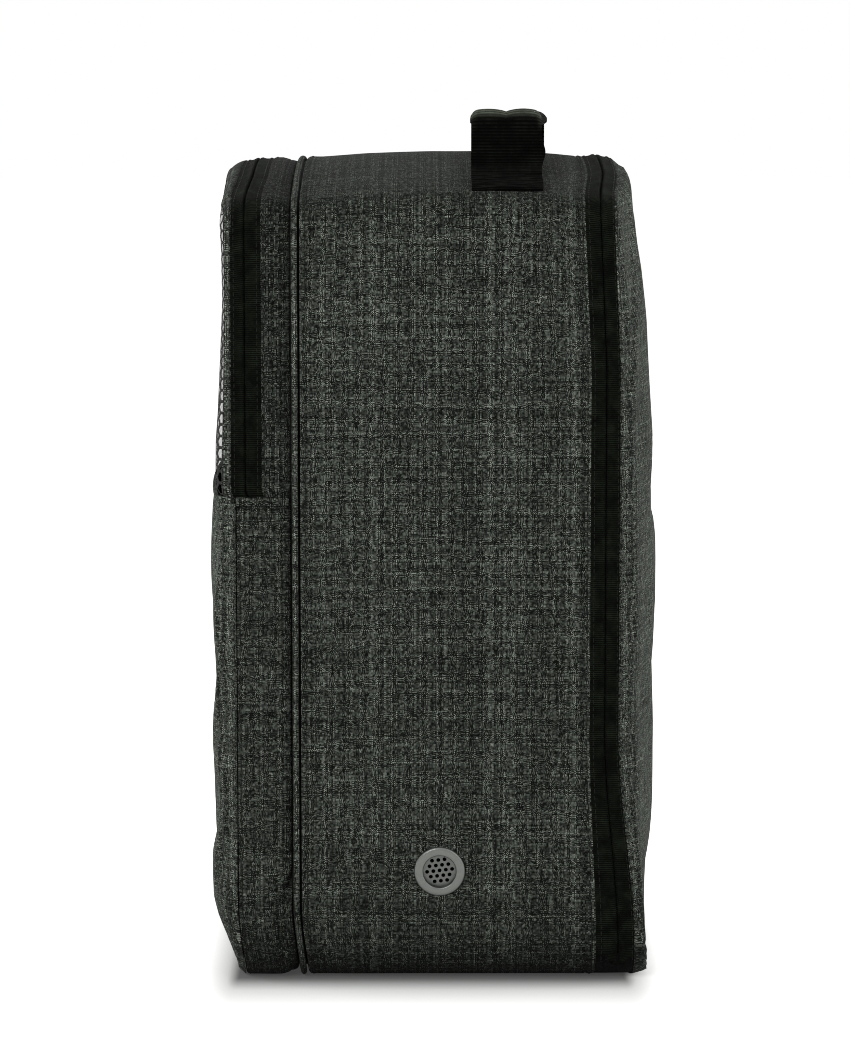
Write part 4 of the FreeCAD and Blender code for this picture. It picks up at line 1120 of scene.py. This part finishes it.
class BAG_OT_front(BagOperator, bpy.types.Operator):
    """Add the pocket's padded front below the hem, its lining and the hem itself"""
    bl_idname = "shoebag.front"
    bl_label = "Pocket front"

    def build(self):
        s = sizes()
        y, z = panel_grid(high=s.hem)
        rows, columns = y.shape
        panel, points, n = padded_panel("front_panel_cloth", y, z, front_height, s.front_seam, -1, 1.0, 51,
                                        pressure=-1.5, cap=3.0, material=finish_of("heather"),
                                        parts=("front_panel",), slot="heather_fabric")
        inner = points - n * 1.3
        shell("front_lining_cloth", inner[:, 2:-2][3:], (inner - n * 0.5)[:, 2:-2][3:],
              np.arange(rows - 3) * SPACING, np.arange(columns - 4) * SPACING,
              material=finish_of("lining"), parts=("front_panel_lining",), slot="lining")
        rise = np.array([-2.6, -2.2, -1.2, 0.0, 0.4, 0.4])
        proud = np.array([0.1, 0.75, 0.9, 0.75, 0.3, -1.4])
        across = y[-1]
        zz = s.hem + rise[:, None] + 0 * across
        yy = np.broadcast_to(across, zz.shape)
        x = s.front_seam - front_height(yy, np.full_like(zz, s.hem)) - proud[:, None]
        outer = settle(np.stack([x, yy, zz], -1))
        inner = outer.copy()
        inner[..., 0] += 1.2
        shell("hem_band", outer, inner, np.arange(6) * 0.8, across - across[0],
              material=finish_of("heather"), parts=("front_panel_hem",), slot="heather_fabric")
        stitches("hem_stitches", [(points[-3], n[-3])])


class BAG_OT_flap(BagOperator, bpy.types.Operator):
    """Add the flap over the pocket: a knitted net of six-sided holes in a cloth border"""
    bl_idname = "shoebag.flap"
    bl_label = "Mesh flap"

    def build(self):
        s = sizes()
        start, end = flap_fold()
        cell, pitch, open_share = 4.1, 5.1, 0.74
        front_depth, back_depth = 0.9, 1.12
        half = int(s.half_width / cell)
        tall = int((s.crest - s.hem) / pitch) + 1
        i, j = np.meshgrid(np.arange(-half, half + 1), np.arange(tall), indexing="ij")
        cy = (i * cell).ravel()
        cz = (s.hem + 0.9 + (j + 0.5 * (i % 2)) * pitch).ravel()
        inside = (np.abs(cy) < half_width_at(cz) - 2.0) & (cz < ceiling_at(cy) - 2.5) & (cz > s.hem + 0.9)
        cy, cz = cy[inside], cz[inside]
        turn = np.arange(6) * math.pi / 3
        corner = np.stack([np.cos(turn) * cell * 2 / 3, np.sin(turn) * pitch / math.sqrt(3)], -1)
        hole = corner * open_share
        ring = np.concatenate([corner, hole])
        yy, zz = cy[:, None] + ring[None, :, 0], cz[:, None] + ring[None, :, 1]
        zz = np.clip(zz, s.hem - 0.3, ceiling_at(yy) - 0.6)
        yy = np.clip(yy, -half_width_at(zz) + 0.6, half_width_at(zz) - 0.6)
        rise = front_height(yy, zz)
        out = np.stack([s.front_seam - rise, yy, zz], -1)
        step = 0.4
        slope_y = (front_height(yy + step, zz) - front_height(yy - step, zz)) / (2 * step)
        slope_z = (front_height(yy, zz + step) - front_height(yy, zz - step)) / (2 * step)
        n = np.stack([-np.ones_like(yy), -slope_y, -slope_z], -1)
        n /= np.linalg.norm(n, axis=-1, keepdims=True)
        count = len(cy)
        front, back = settle(out - n * front_depth), settle(out - n * back_depth)
        vertices = np.concatenate([front.reshape(-1, 3), back.reshape(-1, 3)])
        k = np.arange(6)
        after = (k + 1) % 6
        size = count * 12
        face = np.concatenate([np.stack([k, after, after + 6, k + 6], 1),
                               np.stack([k + 6 + size, after + 6 + size, after + size, k + size], 1),
                               np.stack([k + 6, after + 6, after + 6 + size, k + 6 + size], 1)])[:, ::-1]
        faces = (face[None] + np.arange(count)[:, None, None] * 12).reshape(-1, 4)
        flat = vertices[faces.ravel()][:, [2, 1]]
        net = add_object("flap_net", vertices, faces.tolist(), flat * METRES, material=finish_of("mesh_knit"),
                         body=None, parts=("flap_mesh",), slot="mesh", outward=False)
        net.data.materials.append(finish_of("mesh_knit_inner"))
        inner_faces = np.tile(np.repeat([0, 1], [6, 12]), count).astype(np.int32)
        net.data.polygons.foreach_set("material_index", inner_faces)
        weld = 0.00006
        work = bmesh.new()
        work.from_mesh(net.data)
        bmesh.ops.remove_doubles(work, verts=work.verts, dist=weld)
        work.to_mesh(net.data)
        work.free()
        net.data.polygons.foreach_set("use_smooth", np.ones(len(net.data.polygons), bool))
        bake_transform(net)
        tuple(start)
        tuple(end)
        width = 3.2
        points, along = self.border(width)
        n = normals_of(points, False)
        if np.sum(n[..., 0]) > 0:
            n = -n
        border = shell("flap_border_cloth", points, points - n * 0.8, along,
                       np.linspace(0, width, points.shape[1]), material=finish_of("heather_border"), body=None,
                       parts=("flap_border",), slot="heather_fabric")
        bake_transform(border)
        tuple(start)
        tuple(end)
        row = stitches("flap_stitches", [(points[:, -3], n[:, -3])], body=None)
        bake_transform(row)
        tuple(start)
        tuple(end)

    def border(self, width):
        """Border of the flap: outline(s) moved in by d, at x = front seam - front height there - 0.15."""
        s = sizes()
        y, z, ny, nz, along, _ = outline(low=s.hem - 0.2)
        d = np.concatenate([[0.0, 0.15, 0.4, 0.8], np.linspace(1.3, width, 5), [width + 0.1]])
        yy = y[:, None] + ny[:, None] * d
        zz = z[:, None] + nz[:, None] * d
        x = s.front_seam - front_height(yy, np.minimum(zz, ceiling_at(yy) - 1e-3)) - 0.15
        x[:, -1] += 0.5
        return settle(np.stack([x, yy, zz], -1)), along


class BAG_OT_lid(BagOperator, bpy.types.Operator):
    """Add the padded lid, its lining and the cloth fold that it turns on"""
    bl_idname = "shoebag.lid"
    bl_label = "Lid"

    def build(self):
        s = sizes()
        y, z = panel_grid()
        rows, columns = y.shape
        panel, points, n = padded_panel("lid_panel_cloth", y, z, lid_height, s.lid_seam, 1, 3.4, 61,
                                        pressure=1.5, cap=1.1, uneven=0.8, material=finish_of("heather"),
                                        body="lid", parts=("lid_panel", "lid_foam"), slot="heather_fabric")
        inner = (points - n * 3.6)[3:-3, 3:-3]
        shell("lid_lining_cloth", inner, inner - n[3:-3, 3:-3] * 0.5, np.arange(rows - 6) * SPACING,
              np.arange(columns - 6) * SPACING, material=finish_of("lining"), body="lid",
              parts=("lid_lining",), slot="lining")
        xs = np.linspace(s.case_back - 1.0, s.lid_seam + 0.6, 16)
        skin, _, total = carry(xs, lambda along, x, z, y: 0.35 + 0.15 * ripple(x, y, 62))
        height, fold_top = skin[:, 0, 2], 10.5
        count = int(np.searchsorted(height[: len(height) // 2], fold_top))
        keep = np.concatenate([np.arange(len(height) - count, len(height)), np.arange(0, count + 1)])
        skin = skin[keep]
        inward = normals_of(skin, False)
        inward = inward if inward[count, 8, 2] > 0 else -inward
        # Painted shade: the fold uses the nearly black copy of the heather.
        fold = shell("base_fold", skin, skin + inward * 1.0, np.arange(len(keep)) * (total / len(height)), xs,
                     material=finish_of("heather_under_painted_shade"), body=None, parts=("hinge_strip",),
                     slot="heather_fabric")
        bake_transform(fold)


class BAG_OT_divider(BagOperator, bpy.types.Operator):
    """Add the divider between the case and the pocket: a cloth face, its filling and the lining behind"""
    bl_idname = "shoebag.divider"
    bl_label = "Divider"

    def build(self):
        y, z = panel_grid(spacing=5.0, inset=4.6)
        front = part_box("divider_panel")[0].x * PER_METRE
        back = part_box("divider_lining")[1].x * PER_METRE
        for name, x, deep, part in (("divider_front", front, 1.0, "divider_panel"),
                                    ("divider_filling", front + 1.1, back - front - 1.7, "divider_foam"),
                                    ("divider_back", back - 0.5, 0.5, "divider_lining")):
            outer = np.stack([x + 0 * y, y, z], -1)
            inner = outer + np.array([deep, 0, 0])
            shell(name, outer, inner, z[:, 0], y[0], material=finish_of("lining"), parts=(part,), slot="lining")


class BAG_OT_handle(BagOperator, bpy.types.Operator):
    """Add the webbing handle: two sewn feet, two risers and a grip with curled edges"""
    bl_idname = "shoebag.handle"
    bl_label = "Handle"

    def build(self):
        s = sizes()
        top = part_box("handle_strap")[1].z * PER_METRE - 2.1
        half, bend, bulge_at = 79.0, 6.2, 358.5
        base = float(ceiling_at(np.array(half))) + 0.9
        foot = np.linspace(107, half + bend + 0.8, 14)
        turn = np.linspace(0, math.pi / 2, 10)[1:]
        grip = np.linspace(half - 8, 0, 26)
        y = np.concatenate([foot, half + bend - bend * np.sin(turn), np.full(8, half - 0.2),
                            half - 0.2 - 6.0 * (1 - np.cos(turn)), grip])
        z = np.concatenate([ceiling_at(foot) + 0.9, base + bend * (1 - np.cos(turn)),
                            np.linspace(base + 7.6, top - 6.5, 8), top - 6.5 + 5.6 * np.sin(turn),
                            top - 0.9 - 1.6 * smooth((60 - grip) / 60)])
        y, z = np.concatenate([-y, y[::-1][1:]]), np.concatenate([z, z[::-1][1:]])
        z -= 3.4 * smooth((y + 76) / 70) * smooth((z - base - 6) / 12)
        run = np.append(0, np.cumsum(np.hypot(np.diff(y), np.diff(z))))
        at = np.linspace(0, run[-1], 260)
        path = np.stack([np.full_like(at, s.strap_middle), np.interp(at, run, y), np.interp(at, run, z)], -1)
        ahead = np.gradient(path, axis=0)
        ahead /= np.linalg.norm(ahead, axis=-1, keepdims=True)
        out = np.cross(np.array([1.0, 0, 0]), ahead)
        out = np.where((out[:, 2:3] < -0.2) & (np.abs(path[:, 1:2]) < 70), -out, out)
        u = np.linspace(-1, 1, 33)
        up, side = path[:, 2:3], path[:, 1:2]
        lobes = smooth((up - top + 9) / 7)
        edge = np.clip((np.abs(u)[None, :] - 0.82) / 0.18, 0, 1)
        curl = lobes * (1.3 * np.abs(np.sin(u * math.pi))[None, :] ** 0.7 - 1.7 * edge ** 2)
        drift = 0.25 * ripple(at[:, None], u[None, :] * 15, 81, low=0.01, high=0.05)
        bulge = 1.7 * np.exp(-((up - bulge_at) / 4.5) ** 2) * smooth((u[None, :] - 0.35) / 0.65) * (side < 0)
        sway = 6.0 * smooth((side + 40) / 80) * smooth((up - 345) / 12)
        wrinkle = 0.35 * smooth((np.abs(side) - 84) / 4) * (np.sin(at[:, None] * 1.9 + 2.5 * u[None, :])
                                                           + 0.6 * np.sin(at[:, None] * 0.9 - 4 * u[None, :]))
        centre = path[:, None].repeat(len(u), 1)
        centre[..., 0] = s.strap_middle + u[None, :] * (s.strap_width / 2) + sway + bulge
        lift = curl + drift + wrinkle
        outer = centre + out[:, None] * (0.8 + lift)[..., None]
        inner = centre + out[:, None] * (-0.7 + lift)[..., None]
        strap = shell("handle_webbing", outer, inner, at, u * s.strap_width / 2, material=finish_of("webbing"),
                      parts=("handle_strap",), slot="webbing")
        # Painted highlight: a pale band along the grip's top bend and curled edge, standing in for light caught
        # on the fold, kept in a point attribute that the webbing's finish reads.
        fold = (0.75 * smooth((up - top + 3.4) / 1.6)
                + 0.2 * smooth((u[None, :] - 0.85) / 0.15) * smooth((up - top + 9) / 4))
        wear_and_painted_highlight = np.clip(fold, 0, 1) * smooth((np.abs(side) - 64) / 6)
        layer = strap.data.attributes.new("wear_and_painted_highlight", "FLOAT", "POINT")
        layer.data.foreach_set("value", np.tile(np.broadcast_to(wear_and_painted_highlight, (len(at), len(u))).ravel(), 2))


class BAG_OT_vents(BagOperator, bpy.types.Operator):
    """Add the two vents: turned eyelets with a perforated screen in each"""
    bl_idname = "shoebag.vents"
    bl_label = "Vents"

    def build(self):
        low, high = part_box("vent_eyelets")
        x0, z0 = (low.x + high.x) / 2 * PER_METRE, (low.z + high.z) / 2 * PER_METRE
        skin = sizes().half_width
        tilt = math.radians(5)
        turn = np.linspace(0, 2 * math.pi, 72, endpoint=False)
        section = np.array([(6.6, -2.6), (7.1, -2.2), (7.1, 0.2), (7.15, 0.75), (7.35, 1.1), (7.7, 1.25),
                            (8.3, 1.3), (9.3, 1.3), (10.2, 1.22), (10.7, 1.0), (11.0, 0.55), (11.08, 0.1),
                            (10.9, -0.3), (8.5, -0.2), (8.1, -0.4), (8.1, -6.6), (7.5, -6.6), (7.5, -2.9),
                            (6.6, -2.9)])
        eyelets, screens = [], []
        for sign in (-1, 1):
            ca, sa = math.cos(tilt), math.sin(tilt)

            def place(r, angle, out):
                """x = r cos a, height = r sin a, out from the wall, leaned over by the tilt."""
                up = r * np.sin(angle)
                return np.stack([x0 - sign * r * np.cos(angle) + 0 * out,
                                 sign * (skin + 0.35 + out * ca + up * sa),
                                 z0 + up * ca - out * sa], -1)
            ring = place(section[None, :, 0] + 0 * turn[:, None], turn[:, None] + 0 * section[None, :, 0],
                         section[None, :, 1] + 0 * turn[:, None])
            eyelets.append(ring)
            screens.append(self.screen(place))
        rows, columns = eyelets[0].shape[:2]
        i, j = np.meshgrid(np.arange(rows), np.arange(columns), indexing="ij")
        i, j = i.ravel(), j.ravel()
        one = np.stack([i * columns + j, ((i + 1) % rows) * columns + j,
                        ((i + 1) % rows) * columns + (j + 1) % columns, i * columns + (j + 1) % columns], 1)
        vertices = np.concatenate([e.reshape(-1, 3) for e in eyelets])
        faces = np.concatenate([one, one + rows * columns])
        add_object("vent_eyelet_rims", vertices, faces.tolist(), material=finish_of("vent_metal"),
                   parts=("vent_eyelets",), slot="vent_steel")
        vertices = np.concatenate([screens[0][0], screens[1][0]])
        shift = len(screens[0][0])
        faces = [list(f) for f in screens[0][1]] + [[k + shift for k in f] for f in screens[1][1]]
        plates = add_object("vent_screen_plates", vertices, faces, material=finish_of("vent_screen"),
                            parts=("vent_screens",), slot="vent_screen")
        plates.data.polygons.foreach_set("use_smooth", np.zeros(len(plates.data.polygons), bool))

    def screen(self, place):
        """A round plate 0.6 mm thick with nineteen round holes, at the points of a six-sided lattice."""
        pitch, bore, reach, slant = 2.72, 0.86, 7.3, math.radians(7)
        centres = [(0.0, 0.0)]
        for away, shift in ((pitch, 0), (2 * pitch, 0), (math.sqrt(3) * pitch, math.pi / 6)):
            centres += [(away * math.cos(slant + shift + k * math.pi / 3),
                         away * math.sin(slant + shift + k * math.pi / 3)) for k in range(6)]
        centres = np.array(centres)
        rim = np.linspace(0, 2 * math.pi, 72, endpoint=False)
        turn = np.linspace(0, 2 * math.pi, 20, endpoint=False)
        loops = [reach * np.stack([np.cos(rim), np.sin(rim)], -1)]
        loops += [centre + bore * np.stack([np.cos(turn), np.sin(turn)], -1) for centre in centres]
        points = np.concatenate(loops)
        starts = np.cumsum([0] + [len(loop) for loop in loops])
        edges = []
        for first, loop in zip(starts, loops):
            k = np.arange(len(loop))
            edges.append(np.stack([first + k, first + (k + 1) % len(loop)], 1))
        edges = np.concatenate(edges)
        found = delaunay_2d_cdt([Vector(point) for point in points], edges.tolist(), [], 1, 1e-6)
        flat, triangles = np.array([tuple(v) for v in found[0]]), np.array(found[2])
        middle = flat[triangles].mean(1)
        away = np.linalg.norm(middle[:, None] - centres[None], axis=-1).min(1)
        triangles = triangles[away > bore]
        r, angle = np.hypot(flat[:, 0], flat[:, 1]), np.arctan2(flat[:, 1], flat[:, 0])
        vertices = np.concatenate([place(r, angle, np.full(len(r), out)) for out in (-1.3, -1.9)])
        faces = triangles.tolist() + (triangles[:, ::-1] + len(r)).tolist()
        faces += np.stack([edges[:, 1], edges[:, 0], edges[:, 0] + len(r), edges[:, 1] + len(r)], 1).tolist()
        return vertices, faces


class BAG_OT_hardware(BagOperator, bpy.types.Operator):
    """Give the zip sliders, their pulls, the washers and the base board their finishes"""
    bl_idname = "shoebag.hardware"
    bl_label = "Metal and board"

    def build(self):
        for node, finish in (("main_slider", "zip_metal"), ("main_pull", "zip_metal"),
                             ("pocket_slider", "zip_metal"), ("pocket_pull", "zip_metal"),
                             ("vent_washers", "vent_metal"), ("bottom_board", "board")):
            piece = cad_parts[node]
            piece.data.materials.clear()
            piece.data.materials.append(finish_of(finish))


class BAG_OT_stage(BagOperator, bpy.types.Operator):
    """Add the pale floor, the soft lights and the camera"""
    bl_idname = "shoebag.stage"
    bl_label = "Stage"

    def build(self):
        scene = bpy.context.scene
        scene.view_settings.view_transform = "Standard"
        scene.cycles.denoising_prefilter = "NONE"
        scene.cycles.filter_width = 1.0
        mesh = bpy.data.meshes.new("floor")
        mesh.from_pydata([(-9, -9, 0), (9, -9, 0), (9, 9, 0), (-9, 9, 0)], [], [(0, 1, 2, 3)])
        floor = bpy.data.objects.new("floor", mesh)
        scene.collection.objects.link(floor)
        footprint = (84, 104, 0)  # millimetres from the bag's middle to the sides of what it stands on
        f = Finish("pale_floor")
        paths = f.node("LightPath")
        seen = f.math("MAXIMUM", paths.outputs["Is Camera Ray"], paths.outputs["Is Glossy Ray"])
        beyond = f.node("VectorMath", operation="ABSOLUTE")
        f.link(f.space(), beyond.inputs[0])
        past = f.node("VectorMath", operation="SUBTRACT")
        f.link(beyond.outputs[0], past.inputs[0])
        past.inputs[1].default_value = footprint
        outside = f.node("VectorMath", operation="MAXIMUM")
        f.link(past.outputs[0], outside.inputs[0])
        wide = f.node("VectorMath", operation="MULTIPLY")
        f.link(outside.outputs[0], wide.inputs[0])
        wide.inputs[1].default_value = (4.0, 1.0, 0)
        reach = f.node("VectorMath", operation="LENGTH")
        f.link(wide.outputs[0], reach.inputs[0])
        # Painted shadow: the floor's colour darkens to 0.1 within 22 mm of the bag's footprint, standing in for
        # its contact shadow.
        painted_contact_shadow = f.span(reach.outputs["Value"], 0, 22, 0.1, 1.0)
        pale = f.mix(painted_contact_shadow, (0.10, 0.10, 0.10), (0.90, 0.91, 0.89))
        f.finish(f.mix(seen, (0.14, 0.14, 0.135), pale), 0.8, Specular_IOR_Level=0.0)
        glow = f.node("Emission")
        glow.inputs["Color"].default_value = (1, 1, 0.99, 1)
        # Painted shadow: the floor's glow is dimmed towards the footprint, so that the floor darkens round the
        # bag as if shaded.
        glow_dimmed_for_painted_shadow = f.span(reach.outputs["Value"], 3, 84, 0.05, 1.0)
        f.link(f.math("MULTIPLY", seen, glow_dimmed_for_painted_shadow), glow.inputs["Strength"])
        both = f.node("AddShader")
        f.link(f.shader.outputs[0], both.inputs[0])
        f.link(glow.outputs[0], both.inputs[1])
        f.link(both.outputs[0], f.tree.nodes["Material Output"].inputs["Surface"])
        mesh.materials.append(f.material)
        world = bpy.data.worlds.new("pale_room")
        scene.world = world
        world.use_nodes = True
        tree = world.node_tree
        light = tree.nodes["Background"]
        light.inputs[0].default_value = (1, 1, 1, 1)
        paths = tree.nodes.new("ShaderNodeLightPath")
        seen = tree.nodes.new("ShaderNodeMath")
        seen.operation = "MAXIMUM"
        tree.links.new(paths.outputs["Is Camera Ray"], seen.inputs[0])
        tree.links.new(paths.outputs["Is Glossy Ray"], seen.inputs[1])
        level = tree.nodes.new("ShaderNodeMapRange")
        tree.links.new(seen.outputs[0], level.inputs[0])
        level.inputs[3].default_value, level.inputs[4].default_value = 0.12, 1.0
        tree.links.new(level.outputs[0], light.inputs[1])
        aim = Vector((0, 0, 0.18))
        for name, place, size, power in (("key", (-0.9, -2.0, 1.35), 1.3, 21),
                                         ("fill", (1.3, -1.7, 1.0), 1.3, 7),
                                         ("left", (-1.6, 0.15, 0.4), 1.2, 15),
                                         ("right", (1.6, 0.15, 0.4), 1.2, 13),
                                         ("above", (0.0, -0.5, 2.0), 1.4, 1.2)):
            lamp = bpy.data.lights.new(name, "AREA")
            lamp.shape, lamp.size, lamp.energy = "DISK", size, power
            item = bpy.data.objects.new(name, lamp)
            scene.collection.objects.link(item)
            item.location = place
            item.rotation_euler = (aim - Vector(place)).to_track_quat("-Z", "Y").to_euler()
        camera = bpy.data.cameras.new("camera")
        camera.sensor_width = 36
        camera.lens = 128.2
        camera.clip_start, camera.clip_end = 0.05, 40
        eye = bpy.data.objects.new("camera", camera)
        scene.collection.objects.link(eye)
        eye.location = (-0.0028, -1.715, 0.4095)
        looking_down = 7.5
        eye.rotation_euler = (math.radians(90 - looking_down), 0, 0)
        scene.camera = eye


class BAG_PT_panel(bpy.types.Panel):
    """Sizes, colours and steps of the shoe bag"""
    bl_idname = "BAG_PT_panel"
    bl_label = "Shoe bag"
    bl_space_type = "VIEW_3D"
    bl_region_type = "UI"
    bl_category = "Shoe bag"

    def draw(self, context):
        for group in (context.scene.bag_sizes, context.scene.bag_colours):
            box = self.layout.box()
            for key in group.__annotations__:
                box.prop(group, key)
        for step in STEPS:
            self.layout.operator(step.bl_idname)


STEPS = (BAG_OT_stage, BAG_OT_gusset, BAG_OT_piping, BAG_OT_main_zip, BAG_OT_pocket_side, BAG_OT_pocket_zip,
         BAG_OT_front, BAG_OT_flap, BAG_OT_lid, BAG_OT_divider, BAG_OT_handle, BAG_OT_vents, BAG_OT_hardware)
CLASSES = (BagSizes, BagColours, *STEPS, BAG_PT_panel)


def register():
    """Add the classes, and the sizes and colours of a scene's bag."""
    for item in CLASSES:
        bpy.utils.register_class(item)
    bpy.types.Scene.bag_sizes = bpy.props.PointerProperty(type=BagSizes)
    bpy.types.Scene.bag_colours = bpy.props.PointerProperty(type=BagColours)


def unregister():
    """Take them away again."""
    del bpy.types.Scene.bag_colours, bpy.types.Scene.bag_sizes
    for item in reversed(CLASSES):
        bpy.utils.unregister_class(item)


def main():
    """Build the bag step by step."""
    register()
    make_finishes()
    for step in STEPS:
        group, action = step.bl_idname.split(".")
        getattr(getattr(bpy.ops, group), action)()


if __name__ == "__main__":
    main()
